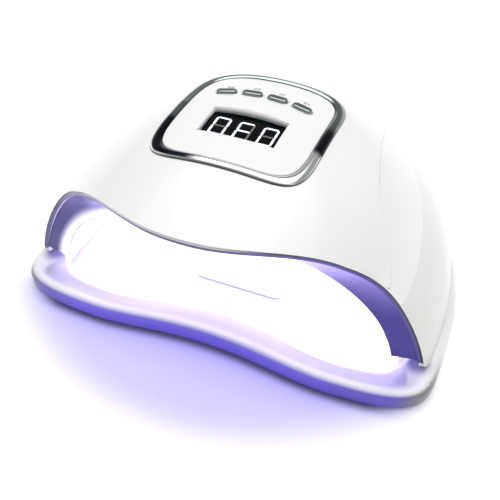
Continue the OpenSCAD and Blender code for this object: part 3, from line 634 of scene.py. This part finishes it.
inlet_black = plastic(
    "inlet_black", (0.03, 0.03, 0.032), (0.018, 0.018, 0.02), (0.32, 0.45),
    peel=0.15, peel_scale=900.0,
)
sensor_black = plastic(
    "sensor_black", (0.02, 0.012, 0.022), (0.012, 0.008, 0.014), (0.12, 0.2),
    peel=0.02, coat=0.5,
)
display_black = plastic(
    "display_black", (0.004, 0.004, 0.005), (0.003, 0.003, 0.004), (0.2, 0.3),
    peel=0.02, specular=0.05,
)
segment_dim = plastic(
    "segment_dim", (0.165, 0.155, 0.14), (0.135, 0.125, 0.115), (0.4, 0.5), peel=0.1
)
label_grey = plastic(
    "label_grey", (0.19, 0.195, 0.20), (0.16, 0.165, 0.17), (0.5, 0.6), peel=0.05
)
segment_lit = lit("segment_lit", (0.82, 0.88, 1.0), 0.85, 0.75)
lamp_violet = lit("lamp_violet", (0.56, 0.46, 1.0), 9.0, 7.5)
board_green = circuit_board("board_green", (0.012, 0.12, 0.045), (0.03, 0.22, 0.09))
strip_white = circuit_board("strip_white", (0.88, 0.88, 0.90), (0.80, 0.80, 0.82))


def dress(piece, surface, body=None, stands_for=()):
    piece.data.materials.clear()
    piece.data.materials.append(surface)
    if body:
        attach(piece, body)
    if stands_for:
        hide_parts(*stands_for)


# ---- Upper shell
# The leaf on each side of the dome lies between two creases, given here by their angle round the
# middle of the ring, in degrees, and their distance from it.
UPPER_CREASE = [
    (-29.4, 97.3), (-27.1, 94.1), (-24.4, 89.8), (-21.7, 85.1), (-19.0, 79.6), (-16.7, 75.4),
    (-7.9, 67.6), (-1.2, 64.7), (8.5, 62.7), (25.2, 64.2), (49.1, 78.6),
]
LOWER_CREASE = [
    (-27.2, 102.7), (-19.9, 98.6), (-9.7, 92.9), (1.1, 88.1), (11.5, 84.8), (22.9, 81.9),
    (31.4, 81.5), (41.0, 83.0), (49.1, 78.6),
]
LEAF_FRONT, LEAF_BACK = UPPER_CREASE[0][0], UPPER_CREASE[-1][0]
LEAF_SINK, CREASE_HALF, CREASE_MIN = 0.85, 0.0022, 0.012
SEAT_D, LEDGE_D, LEDGE_T, SEAT_CLEAR = 1.6, 8.0, 1.2, 0.3
FACE_STEPS, LEAF_STEPS, SIDE_STEPS, UNDER_STEPS = 22, 10, 24, 18
EDGE_ROUND, ROUND_STEPS = 0.7, 4
BOSS_ANGLES, BOSS_IN, BOSS_R, BOSS_Z = (-9, 66), 11, 3.2, 12.9
INLET_HALF_H, INLET_HOLE_R, INLET_HOLE_L = 5.5, 4.3, 30


def crease_shares(p, seat):
    """On the line from the seat to the edge: where it crosses the two creases, how deep the leaf is
    there, and how much of the painted shade below the leaf it has."""
    angle = math.degrees(math.atan2(p[1] - RING_Y, abs(p[0])))
    full = math.dist(p, (0, RING_Y))
    start = math.dist(seat, (0, RING_Y))
    at = min(max(angle, LEAF_FRONT), LEAF_BACK)
    upper = (through(UPPER_CREASE, at) - start) / (full - start)
    lower = (through(LOWER_CREASE, at) - start) / (full - start)
    away = step01(max(angle - LEAF_BACK, LEAF_FRONT - angle) / 24)
    upper = mix(min(upper, 0.975), 0.5, away)
    lower = mix(min(max(lower, upper + CREASE_MIN), 0.99), 0.72, away)
    depth = LEAF_SINK * step01((LEAF_BACK - angle) / 26) * (1.0 if angle > -30.5 else 0.0)
    beyond = step01((62 - angle) / 30) * step01((angle + 42) / 12)
    return upper, max(lower, upper + CREASE_MIN), depth, beyond


def shell_rows():
    """Rows of the shell, its marks, and the rows where its two creases lie. The rows run from the
    seat of the panel over the outside to the edge, and back along the inside."""
    edge, inner_edge = edge_loop(0), edge_loop(SHELL_T)
    angles = [math.atan2(p[1] - RING_Y, p[0]) for p in edge]
    seat = [ring_pt(a, SEAT_D) for a in angles]
    ledge = [ring_pt(a, LEDGE_D) for a in angles]
    drop = PANEL_T + SEAT_CLEAR
    count = len(edge)
    upper, lower, depth, beyond = zip(*(crease_shares(p, s) for p, s in zip(edge, seat)))
    leaf = [min(1.0, d / LEAF_SINK) for d in depth]
    hood = [1.0 if k <= HOOD_STEPS or k == count - 1 else 0.0 for k in range(count)]
    rows, seam, side, edge_band = [], [], [], []

    def add(row, seam_value=0.0, side_value=0.0, edge_band_value=0.0):
        rows.append(list(row))
        seam.append([seam_value * d for d in leaf])
        side.append([side_value * b for b in beyond])
        edge_band.append([edge_band_value * h for h in hood])

    def along(k, starts, ends, u, t=0.0, sink=0.0):
        (x0, y0), (x1, y1) = starts[k], ends[k]
        x, y = mix(x0, x1, u), mix(y0, y1, u)
        return x, y, top_z(x, y, t) - sink

    def add_outer(shares, sinks=None, **values):
        sinks = sinks or [0.0] * count
        add([along(k, seat, edge, shares[k], sink=sinks[k]) for k in range(count)], **values)

    def between_creases(f):
        return [mix(upper[k] + 2 * CREASE_HALF, lower[k], f) for k in range(count)]

    add((*p, top_z(*p) - drop) for p in seat)
    for i in range(FACE_STEPS):
        add_outer([u * i / FACE_STEPS for u in upper])
    step_row = len(rows)
    add_outer([u - CREASE_HALF for u in upper])
    # The rows at the step of the upper crease carry the painted shadow line.
    add_outer(upper, seam_value=1.0)
    add_outer([u + CREASE_HALF for u in upper], depth, seam_value=1.0)
    add_outer(between_creases(0), depth)
    for i in range(1, LEAF_STEPS + 1):
        f = i / LEAF_STEPS
        add_outer(between_creases(f), [d * (1 - f) for d in depth])
    lower_row = len(rows) - 1
    add_outer([mix(v, 1, 0.02) for v in lower], side_value=1.0)
    for i in range(1, SIDE_STEPS):
        f = 1 - (1 - i / SIDE_STEPS) ** 1.6
        add_outer([mix(v, 1, max(0.03, f)) for v in lower], side_value=1.0)
    before = rows[-1]
    edge_row = [along(k, seat, edge, 1) for k in range(count)]
    inner_row = [(*p, top_z(*p, SHELL_T)) for p in inner_edge]
    # The rounded edge and the edge face carry the band where the cavity's violet light and a dark
    # line are painted.
    for i in range(ROUND_STEPS + 1):
        a = math.pi / 2 * i / ROUND_STEPS
        row = []
        for corner, back, across in zip(edge_row, before, inner_row):
            corner = Vector(corner)
            inward = (Vector(back) - corner).normalized()
            through_wall = (Vector(across) - corner).normalized()
            curve = (1 - math.sin(a)) * inward + (1 - math.cos(a)) * through_wall
            row.append(tuple(corner + EDGE_ROUND * curve))
        add(row, side_value=1.0, edge_band_value=0.0 if i == 0 else 1.0)
    for share, value in ((0.46, 1.0), (0.48, 0.5), (0.98, 0.5)):
        wall_row = [tuple(Vector(p).lerp(Vector(q), share)) for p, q in zip(edge_row, inner_row)]
        add(wall_row, edge_band_value=value)
    add(inner_row, edge_band_value=0.5)
    for i in range(UNDER_STEPS - 1, 0, -1):
        u = 1 - (1 - i / UNDER_STEPS) ** 1.7
        row = [along(k, ledge, inner_edge, u, SHELL_T) for k in range(count)]
        add(row, edge_band_value=0.5 if i == UNDER_STEPS - 1 else 0.0)
    add((*p, top_z(*p) - drop - LEDGE_T) for p in ledge)
    add((*p, top_z(*p) - drop) for p in ledge)
    return rows, {"seam": seam, "side": side, "edge_band": edge_band}, step_row, lower_row


def boss_places():
    places = []
    for degrees in BOSS_ANGLES:
        x, y = plan_pt(math.radians(degrees), SKIRT_Z, 0)
        out = Vector((x, y - DOME_Y)).normalized()
        bx, by = x - BOSS_IN * out.x, y - BOSS_IN * out.y
        top = top_z(bx + 4.5 * out.x, by + 4.5 * out.y)
        places += [(bx, by, top), (-bx, by, top)]
    return places


rows, marks, step_row, lower_row = shell_rows()
shell = skin_of(
    "shell_skin", rows, joined=True, angle=35, sharp_rows=(step_row, lower_row), marks=marks
)
inlet_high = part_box("dc_inlet")[1]
clear_selection()
bpy.ops.mesh.primitive_cylinder_add(
    vertices=64, radius=INLET_HOLE_R * MM, depth=INLET_HOLE_L * MM,
    location=(0, inlet_high.y, (inlet_high.z / MM - INLET_HALF_H) * MM),
    rotation=(math.pi / 2, 0, 0),
)
hole = bpy.context.object
bpy.ops.object.transform_apply(location=True, rotation=True, scale=True)
cut_with(shell, [hole])
bosses = [rod(BOSS_R, BOSS_Z, top, x, y, 32) for x, y, top in boss_places()]
shell = join_to(shell, bosses)
dress(shell, shell_white, "housing", ["upper_shell"])


# ---- Bezel between the hood and the mouth of the cavity
MOUTH_STEPS, MOUTH_SUBSTEPS = 2 * ARCH_STEPS + 1, 6
BEZEL_SHARES = (0, 0.03, 0.3, 0.5, 0.7, 0.85, 0.97)


def arch_a(f, z0):
    """Angle on the cavity's arch, from a height (0) up to the flat crown (1)."""
    a0 = math.asin((z0 / CAVITY_H) ** (CAVITY_N / 2))
    a1 = math.acos(CROWN_SHARE ** (CAVITY_N / 2))
    return mix(a0, a1, f)


def arch_w(a):
    return math.cos(a) ** (2 / CAVITY_N)


def arch_h(a):
    return math.sin(a) ** (2 / CAVITY_N)


def mouth_at(k):
    """Place across and height of the mouth's edge, from its right foot (0) to its left (25)."""
    f = min(k, MOUTH_STEPS - k) / ARCH_STEPS
    a = arch_a(min(f, 1), TOE_Z + BEZEL_RISE)
    across = mix(1, -1, k - ARCH_STEPS)
    if f <= 1:
        across = 1 if k <= MOUTH_STEPS / 2 else -1
    return across * CAVITY_HW * arch_w(a), CAVITY_H * arch_h(a)


def bezel_rows():
    """A row round the bezel's section at each step along the mouth, and how near each of its points
    is to the mouth, from 0 at the hood to 1."""
    t = SHELL_T + BEZEL_GAP
    reach = foot_x(t)
    rows = []
    for step in range(MOUTH_STEPS * MOUTH_SUBSTEPS + 1):
        k = step / MOUTH_SUBSTEPS
        a = math.pi * k / MOUTH_STEPS
        x = reach * spow(math.cos(a), 2 / 3)
        y = edge_y(x) + BEZEL_BACK
        mx, mz = mouth_at(k)
        front, back = Vector((x, y, top_z(x, y, t))), Vector((x, y + BEZEL_T, top_z(x, y, t)))
        lip, lip_back = Vector((mx, MOUTH_Y, mz)), Vector((mx, MOUTH_Y + BEZEL_T, mz))
        row = [front.lerp(lip, f) for f in BEZEL_SHARES]
        row += [lip.lerp(front, 0.012) + Vector((0, 0.15, 0)), lip.lerp(lip_back, 0.3), lip_back]
        row += [back.lerp(lip_back, f) for f in (0.5, 0)]
        rows.append([tuple(p) for p in row])
    rows = closed(rows)
    reaches = [*BEZEL_SHARES, 1, 1, 1, 1, 1]
    return rows, {"to_mouth": [reaches] * len(rows)}


rows, marks = bezel_rows()
bezel = skin_of("mouth_bezel", rows, angle=40, marks=marks)
dress(bezel, bezel_violet, "housing", ["front_bezel"])


# ---- Lit cavity
CAVITY_ROWS, CROWN_ROWS, STRAIGHT_STEPS, END_STEPS, LINER_T = 40, 6, 10, 72, 2


def cavity_row(f, share=None):
    """Row of the liner at a share of its height, narrowed to a share of its width at the crown."""
    a = arch_a(min(f, 1), SKIRT_Z)
    s = arch_w(a) if share is None else share
    z = CAVITY_H * arch_h(a)
    y0 = MOUTH_Y + BEZEL_T + 0.1 + 1.4 * max(0, 1 - f) ** 2
    w, e, yc = CAVITY_HW * s, CAVITY_END * s, MOUTH_Y + CAVITY_STRAIGHT
    row = [(w, mix(y0, yc, i / STRAIGHT_STEPS), z) for i in range(STRAIGHT_STEPS)]
    for k in range(END_STEPS + 1):
        b = math.pi * k / END_STEPS
        x = w * spow(math.cos(b), 2 / CAVITY_N)
        row.append((x, yc + e * max(0, math.sin(b)) ** (2 / CAVITY_N), z))
    row += [(-w, mix(yc, y0, i / STRAIGHT_STEPS), z) for i in range(1, STRAIGHT_STEPS + 1)]
    return row


rows = [cavity_row(i / CAVITY_ROWS) for i in range(CAVITY_ROWS + 1)]
rows += [cavity_row(1, CROWN_SHARE * (1 - i / CROWN_ROWS)) for i in range(1, CROWN_ROWS + 1)]
cavity = grid_of("cavity_liner", rows)
merge_and_turn()
crown = [p.normal.z for p in cavity.data.polygons if p.center.z > 0.9 * CAVITY_H * MM]
if sum(z > 0 for z in crown) > sum(z < 0 for z in crown):
    bpy.ops.object.mode_set(mode="EDIT")
    bpy.ops.mesh.select_all(action="SELECT")
    bpy.ops.mesh.flip_normals()
    bpy.ops.object.mode_set(mode="OBJECT")
wall = cavity.modifiers.new("wall", "SOLIDIFY")
wall.thickness, wall.offset = LINER_T * MM, -1
bpy.ops.object.modifier_apply(modifier="wall")
smooth(40)
dress(cavity, cavity_light, "housing", ["reflector"])


# ---- Chrome ring round the controls
# Its section: how far in from the outline, and how high above the dome.
RING_PROFILE = [
    (0, 0.1), (0.12, 0.55), (0.45, 0.98), (0.9, 1.3), (1.5, 1.57), (2.3, 1.7), (3.1, 1.5),
    (3.8, 1.1), (4.35, 0.66), (4.7, 0.3), (4.8, 0.1), (4.8, -2.8), (1.9, -2.8), (1.9, 0.1),
]
RING_STEPS = 240


def ring_rows():
    """Rows of the ring, and how far each lies across it from the outside (0) to the inside (1)."""
    rows, across = [], []
    for inset, height in RING_PROFILE:
        row = []
        for k in range(RING_STEPS):
            x, y = ring_pt(2 * math.pi * k / RING_STEPS, inset)
            row.append((x, y, top_z(x, y) + height))
        rows.append(row)
        across.append([inset / RING_W] * RING_STEPS)
    return rows, {"across": across}


rows, marks = ring_rows()
ring = skin_of("ring_band", rows, joined=True, angle=50, marks=marks)
dress(ring, ring_chrome, "housing", ["chrome_ring"])


# ---- Control panel with its window and button holes
BUTTON_PITCH, BUTTON_BACK, BUTTON_BOW, BUTTON_TURN = 13.3, 15.2, 0.0045, 0.009
BUTTON_GAP, PILL_STEPS = 0.3, 64
PANEL_STEPS, PANEL_ROWS = 192, 30
POST_R, POST_X, POST_FRONT, POST_BACK = 2.4, 25.5, 22.5, 23.5
WINDOW_Y0, WINDOW_Y1, WINDOW_HW = RING_Y - 23.3, RING_Y - 2.6, 19.1
WINDOW_BOW, WINDOW_UP, WINDOW_STEPS = 4.5, 6, 32
POCKET_HW, POCKET_D, POCKET_GAP = 19.5, 21.1, 0.2


def button_place(i):
    x = (i - 1.5) * BUTTON_PITCH
    return x, RING_Y + BUTTON_BACK - BUTTON_BOW * x * x


def surface_frame(x, y, turn):
    """Matrix of a place on the panel: its normal, and a turn about it."""
    sx = top_z(x + 0.5, y) - top_z(x - 0.5, y)
    sy = top_z(x, y + 0.5) - top_z(x, y - 0.5)
    normal = Vector((-sx, -sy, 1)).normalized()
    across = Vector((1, 0, sx)).normalized()
    back = normal.cross(across)
    base = Matrix((across, back, normal)).transposed().to_4x4()
    place = Matrix.Translation(Vector((x, y, top_z(x, y) + PANEL_UP)))
    return place @ base @ Matrix.Rotation(turn, 4, "Z")


def button_frame(i):
    x, y = button_place(i)
    return surface_frame(x, y, -math.atan(BUTTON_TURN * x))


def pill_row(r, z, half=(BUTTON_L - BUTTON_W) / 2):
    row = []
    for k in range(PILL_STEPS):
        a = 2 * math.pi * (k + 0.5) / PILL_STEPS
        row.append((half * math.copysign(1, math.cos(a)) + r * math.cos(a), r * math.sin(a), z))
    return row


def set_at(rows, matrix):
    return [[tuple(matrix @ Vector(p)) for p in row] for row in rows]


def panel_rows():
    """Rows of the panel: its underside, its rounded edge and its face, as far as its middle."""
    shares = [0.02] + [i / PANEL_ROWS for i in range(1, PANEL_ROWS + 1)]

    def face_row(s, h, more=0.0):
        row = []
        for k in range(PANEL_STEPS):
            x, y = ring_pt(2 * math.pi * k / PANEL_STEPS, RING_W + PANEL_GAP + more)
            x, y = x * s, RING_Y + (y - RING_Y) * s
            row.append((x, y, top_z(x, y) + h))
        return row

    rows = [face_row(s, -PANEL_T) for s in shares]
    rows += [face_row(1, PANEL_UP - h, more) for h, more in ((0.25, 0.0), (0.07, 0.07), (0, 0.25))]
    rows += [face_row(s, PANEL_UP) for s in reversed(shares[:-1])]
    low, high = (0, RING_Y, top_z(0, RING_Y) - PANEL_T), (0, RING_Y, top_z(0, RING_Y) + PANEL_UP)
    return closed(rows, low, high)


def window_row(bow, z):
    row = [(-WINDOW_HW, WINDOW_Y0, z), (WINDOW_HW, WINDOW_Y0, z)]
    for i in range(WINDOW_STEPS + 1):
        u = 1 - i / (WINDOW_STEPS / 2)
        row.append((WINDOW_HW * u, WINDOW_Y1 + bow * (1 - u * u), z))
    return row


panel = skin_of("control_face", panel_rows(), angle=35)
posts = [
    rod(POST_R, BOARD_TOP, top_z(x, y) - PANEL_T / 2, x, y, 32)
    for x in (-POST_X, POST_X) for y in (RING_Y - POST_FRONT, RING_Y + POST_BACK)
]
panel = join_to(panel, posts)
rows = [window_row(0, DISPLAY_Z), window_row(WINDOW_BOW, DISPLAY_Z + WINDOW_UP)]
low, high = ((0, WINDOW_Y1 - 9, row[0][2]) for row in rows)
window = skin_of("window_cut", closed(rows, low, high))
pocket = block(
    -POCKET_HW, POCKET_HW, WINDOW_Y1 - POCKET_D, WINDOW_Y1 + POCKET_GAP,
    BOARD_TOP - 1, DISPLAY_Z + POCKET_GAP,
)
holes = []
for i in range(4):
    low, high = -PANEL_T - 2, 2
    rows = [pill_row(BUTTON_W / 2 + BUTTON_GAP, z) for z in (low, high)]
    rows = closed(rows, (0, 0, low), (0, 0, high))
    holes.append(skin_of("hole", set_at(rows, button_frame(i))))
cut_with(panel, [window, pocket, *holes])
dress(panel, panel_white, "housing", ["control_panel"])

# ---- Buttons, each with its flange and stem
UNDER = -PANEL_T - PANEL_UP - 0.4
FLANGE_W, FLANGE = 0.8, UNDER - 0.8
SWITCH_TOP, STEM_R, STEM_GAP = BOARD_TOP + 3.5, 1.4, 0.7
CAP_ROUND = ((1.9, 0.0), (1.2, 0.0), (0.85, 0.04), (0.45, 0.2), (0.14, 0.5), (0.0, 0.85))
for i, name in enumerate(("button_99", "button_60", "button_30", "button_10")):
    r = BUTTON_W / 2
    stem = SWITCH_TOP + STEM_GAP - top_z(*button_place(i)) - PANEL_UP
    rows = [pill_row(r - inset, BUTTON_UP - down) for inset, down in CAP_ROUND]
    rows += [pill_row(r, UNDER), pill_row(r + FLANGE_W, UNDER), pill_row(r + FLANGE_W, FLANGE)]
    rows += [pill_row(STEM_R, FLANGE, 0.0), pill_row(STEM_R, stem, 0.0)]
    rows = closed(rows, (0, 0, BUTTON_UP), (0, 0, stem))
    cap = skin_of(name + "_cap", set_at(rows, button_frame(i)), angle=35)
    dress(cap, button_chrome, name, [name])

# ---- Plain numbers behind the buttons, printed to be read from the user's side
NUMBER_H, NUMBER_T, NUMBER_BACK, NUMBER_SPREAD = 3.5, 0.03, 6.6, 1.02
for i, text in enumerate(("99", "60", "30", "10")):
    x, y = button_place(i)
    clear_selection()
    bpy.ops.object.text_add(location=(0, 0, 0))
    number = bpy.context.object
    number.data.body = text
    number.data.size = NUMBER_H * MM
    number.data.align_x = "CENTER"
    number.data.align_y = "CENTER"
    number.data.extrude = NUMBER_T * MM
    bpy.ops.object.convert(target="MESH")
    number = bpy.context.object
    number.name = "number_" + text
    number.data.name = number.name
    spot = surface_frame(x * NUMBER_SPREAD, y + NUMBER_BACK, math.pi - BUTTON_TURN * x)
    spot.translation *= MM
    number.data.transform(spot)
    dress(number, label_grey, "housing")


# ---- Tray
TRAY_Y = (LAMP_D - TRAY_D) / 2
CREST_SIDE, INNER_SIDE, INNER_FRONT = 14.0, 17.0, 18
FRONT_DIP, DIP_HW, FRONT_N, BACK_N = 5.6, 65, 6.5, 1.97
TRAY_STEPS, WALL_STEPS, SLOPE_STEPS = 300, 14, 15
FOOT_ROUND, FOOT_STEPS = 1.2, 4
MAGNET_ANGLES, MAGNET_IN, MAGNET_HOLE_R, MAGNET_HOLE_L = (0, 58), 6.2, 2.5, 2.05


def tray_angle(k):
    return 2 * math.pi * k / TRAY_STEPS


def tray_pt(a, da, db):
    """Outline of the tray in plan, drawn in by da at the sides and db at the front and back."""
    front = math.sin(a) < -1e-12
    n = FRONT_N if front else BACK_N
    hw = TRAY_W / 2 - da
    reach = TRAY_D / 2 + (DOME_Y - TRAY_Y if front else TRAY_Y - DOME_Y) - db
    r = ((abs(math.cos(a)) / hw) ** n + (abs(math.sin(a)) / reach) ** n) ** (-1 / n)
    x = r * math.cos(a)
    dip = FRONT_DIP * max(0.0, 1 - (x / DIP_HW) ** 2) ** 2 if front else 0.0
    return x, DOME_Y + r * math.sin(a) + dip


def tray_row(d, low, high):
    """Row drawn in by d at the front, the sides and the back, low in front and high behind."""
    row = []
    for k in range(TRAY_STEPS):
        a = tray_angle(k)
        s = step01((tray_pt(a, 0, 0)[1] - (MOUTH_Y - 13)) / 15)
        side = mix(d[0], d[1], s)
        p = tray_pt(a, side, side if math.sin(a) < 0 else mix(d[1], d[2], math.sin(a)))
        row.append((*p, mix(low, high, s)))
    return row


def tray_floor_row():
    row = []
    for k in range(TRAY_STEPS):
        a = tray_angle(k)
        x = tray_pt(a, 0, 0)[0]
        more = 0.0
        if math.sin(a) < 0:
            more = INNER_FRONT - INNER_SIDE + 12 * math.exp(-((x / 45) ** 2))
        row.append((*tray_pt(a, INNER_SIDE, INNER_SIDE + more), FLOOR_Z))
    return row


def between(a, b, f, g):
    return [(mix(p[0], q[0], f), mix(p[1], q[1], f), mix(p[2], q[2], g)) for p, q in zip(a, b)]


def tray_rows():
    """Rows of the tray, and its marks: the outer face of the wall, and the slope behind the lip."""
    rows = []
    for i in range(FOOT_STEPS + 1):
        b = math.pi / 2 * i / FOOT_STEPS
        inset = FOOT_ROUND * (1 - math.sin(b))
        z = FOOT_T + FOOT_ROUND * (1 - math.cos(b))
        rows.append(tray_row([inset] * 3, z, z))
    for i in range(WALL_STEPS + 1):
        c, s = (i / WALL_STEPS) ** 1.3, math.sin(math.pi / 2 * i / WALL_STEPS)
        insets = [c * 3, c * 4, c * 1.8]
        rows.append(tray_row(insets, mix(WALL_Z, LIP_Z, s), mix(SIDE_Z, RIM_Z, s)))
    crest, floor = tray_row([4.5, CREST_SIDE, CREST_SIDE], LIP_Z, RIM_Z), tray_floor_row()
    rows.append(between(rows[-1], crest, 0.92, 1))
    for i in range(1, SLOPE_STEPS):
        f = i / SLOPE_STEPS
        rows.append(between(crest, floor, f, 0.7 * f + 0.3 * step01(f)))
    rows.append(floor)
    centre = (0, DOME_Y + 8, FLOOR_Z)
    for f in (0.02, 0.3, 0.65):
        rows.append(between(floor, point_row(floor, centre), f, 0))
    rows = closed(rows, (0, DOME_Y + 8, FOOT_T), centre)
    outer = [1.0] * 11 + [0.85, 0.6, 0.35, 0.15]
    slope = [0.0] * 21 + [0.3, 0.8] + [1.0] * 9 + [0.75, 0.5, 0.25]
    marks = {}
    for name, values in (("outer", outer), ("slope", slope)):
        values += [0.0] * (len(rows) - len(values))
        marks[name] = [[value] * TRAY_STEPS for value in values]
    return rows, marks


rows, marks = tray_rows()
tray = skin_of("tray_pan", rows, angle=24, marks=marks)
magnets = []
for degrees in MAGNET_ANGLES:
    x, y = plan_pt(math.radians(degrees), SKIRT_Z, 0)
    out = Vector((x, y - DOME_Y)).normalized()
    mx, my = x - MAGNET_IN * out.x, y - MAGNET_IN * out.y
    for side in (1, -1):
        magnets.append(rod(MAGNET_HOLE_R, RIM_Z - MAGNET_HOLE_L, RIM_Z + 2, side * mx, my))
cut_with(tray, magnets)

# Finger stop: a low ridge with its ends turned back
STOP_BACK, STOP_HW, STOP_R, STOP_STEPS = 26.5, 21, 4, 12
STOP_PROFILE = (
    (-0.75, -0.3), (-0.75, 0.6), (-0.6, 0.88), (-0.3, 1.0),
    (0.3, 1.0), (0.6, 0.88), (0.75, 0.6), (0.75, -0.3),
)


def stop_rows():
    """Rows across the ridge, from its right end to its left end."""
    path = []
    for i in range(STOP_STEPS + 1):
        a = math.radians(-10 - 80 * i / STOP_STEPS)
        x, y = STOP_HW + STOP_R * math.cos(a), STOP_R + STOP_R * math.sin(a)
        path.append((x, y, a + math.pi / 2 + math.pi))
    left = [(-x, y, -a) for x, y, a in reversed(path)]
    rows = []
    for x, y, a in path + left:
        across = (-math.sin(a), math.cos(a))
        rows.append([
            (x + across[0] * w, MOUTH_Y + STOP_BACK + y + across[1] * w, FLOOR_Z + h)
            for w, h in STOP_PROFILE
        ])
    return closed(rows)


stop = skin_of("finger_stop", stop_rows(), angle=50)
tray = join_to(tray, [stop])
dress(tray, tray_white, "tray", ["base_tray"])

# ---- Finishes of the pieces that keep the shapes of the frame
for node_name, surface in {
    "tray_feet": foot_rubber,
    "tray_magnets": magnet_nickel,
    "housing_magnets": magnet_nickel,
    "bottom_frame": frame_white,
    "housing_screws": screw_zinc,
    "board_screws": screw_zinc,
    "control_board": board_green,
    "driver_board": board_green,
    "tact_switches": switch_black,
    "driver_parts": part_black,
    "board_standoffs": standoff_brass,
    "presence_sensor": sensor_black,
    "dc_inlet": inlet_black,
    "display_module": display_black,
    "segments_lit": segment_lit,
    "segments_dim": segment_dim,
    **{f"led_strip_{number}": strip_white for number in range(1, 5)},
    "rear_led_strip": strip_white,
    **{f"leds_{number}": lamp_violet for number in range(1, 5)},
    "rear_leds": lamp_violet,
}.items():
    dress(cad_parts[node_name], surface)

# ---- Floor, with painted violet light in front of the tray and a painted shadow at its foot
clear_selection()
bpy.ops.mesh.primitive_plane_add(size=6)
table = bpy.context.object
table.name = "table_top"
made, tree, surface = finish("table_pale", specular=0.2)
x, y, _ = place_of(tree)
# Painted violet light on the floor in front of the tray.
spill = ramp(
    tree, oval(tree, maths(tree, "ADD", x, 0.007), y, -0.045, 0.126, 0.100, 2.0), 1.10, 0.74
)
spill = times(tree, spill, ramp(tree, y, -0.060, -0.085))
# Painted shadow along the foot of the tray's front wall, following its dip.
waist = maths(tree, "POWER", maths(tree, "DIVIDE", x, DIP_HW * MM), 2.0)
waist = maths(tree, "MAXIMUM", maths(tree, "SUBTRACT", 1.0, waist), 0.0)
waist = maths(tree, "POWER", waist, 2.0)
ahead = maths(tree, "SUBTRACT", y, times(tree, waist, FRONT_DIP * MM))
front_l = (TRAY_D / 2 + DOME_Y - TRAY_Y) * MM
outline = oval(tree, x, ahead, DOME_Y * MM, TRAY_W / 2 * MM, front_l, FRONT_N)
contact = times(tree, ramp(tree, outline, 1.11, 0.99), ramp(tree, y, -0.060, -0.080))
contact = times(tree, contact, ramp(tree, size_of(tree, x), 0.115, 0.085))
contact = maths(tree, "POWER", contact, 1.6)
pale = patchy(tree, 9.0, (0.90, 0.90, 0.905), (0.89, 0.89, 0.895))
pale = tint(tree, times(tree, spill, 0.9), pale, (0.50, 0.47, 0.87))
pale = tint(tree, times(tree, contact, 0.86), pale, (0.06, 0.05, 0.16))
feed(tree, pale, surface, "Base Color", "Emission Color")
surface.inputs["Roughness"].default_value = 0.6
# What is seen of the floor is lifted to white, but the floor lights nothing with it.
path = put(tree, "LightPath").outputs
seen = maths(tree, "MAXIMUM", path["Is Camera Ray"], path["Is Glossy Ray"])
seen = maths(tree, "MAXIMUM", seen, path["Is Transmission Ray"])
feed(tree, times(tree, seen, 0.30), surface, "Emission Strength")
table.data.materials.append(made)

# ---- Studio light
LIGHT_PLACE, LIGHT_AIM = Vector((-0.05, 0.25, 1.35)), Vector((0, 0, 0.05))
clear_selection()
bpy.ops.object.light_add(type="AREA", location=LIGHT_PLACE)
light = bpy.context.object
light.name = "overhead_light"
light.data.shape = "SQUARE"
light.data.size = 1.2
light.data.energy = 4.5
light.rotation_euler = (LIGHT_AIM - LIGHT_PLACE).to_track_quat("-Z", "Y").to_euler()

# ---- Studio round the lamp, which the chrome and the glossy white show
# By direction it is bright overhead, grey at the sides, dimmer behind, dimmest in front and white
# along the horizon.
world = bpy.data.worlds.new("studio")
bpy.context.scene.world = world
world.use_nodes = True
tree = world.node_tree
_, y, z = put(tree, "SeparateXYZ", {0: put(tree, "TexCoord").outputs["Generated"]}).outputs
screen = times(tree, ramp(tree, y, -0.25, 0.15), ramp(tree, z, 0.10, 0.20))
screen = times(tree, screen, ramp(tree, z, 0.76, 0.66))
ahead = times(tree, ramp(tree, y, -0.05, -0.65), ramp(tree, z, 0.08, 0.16))
ahead = maths(tree, "SUBTRACT", 1.0, times(tree, ahead, 0.78))
level = times(tree, ramp(tree, z, 0.60, 0.85, 0.84, 1.68), ahead)
level = maths(tree, "ADD", level, ramp(tree, z, 0.14, 0.06, 0.0, 0.16))
level = times(tree, level, maths(tree, "SUBTRACT", 1.0, times(tree, screen, 0.55)))
tree.links.new(level, tree.nodes["Background"].inputs["Strength"])
tree.nodes["Background"].inputs["Color"].default_value = (1, 1, 1, 1)

# ---- Camera, fitted to the photograph
VIEW_WAY = Vector((-0.2729, 0.6643, -0.6959))
clear_selection()
bpy.ops.object.camera_add(location=(0.112503, -0.298987, 0.304278))
camera = bpy.context.object
camera.rotation_euler = VIEW_WAY.to_track_quat("-Z", "Y").to_euler()
camera.data.sensor_width = 36
camera.data.lens = 53.28
camera.data.clip_start = 0.01
bpy.context.scene.camera = camera
bpy.context.scene.view_settings.view_transform = "Standard"
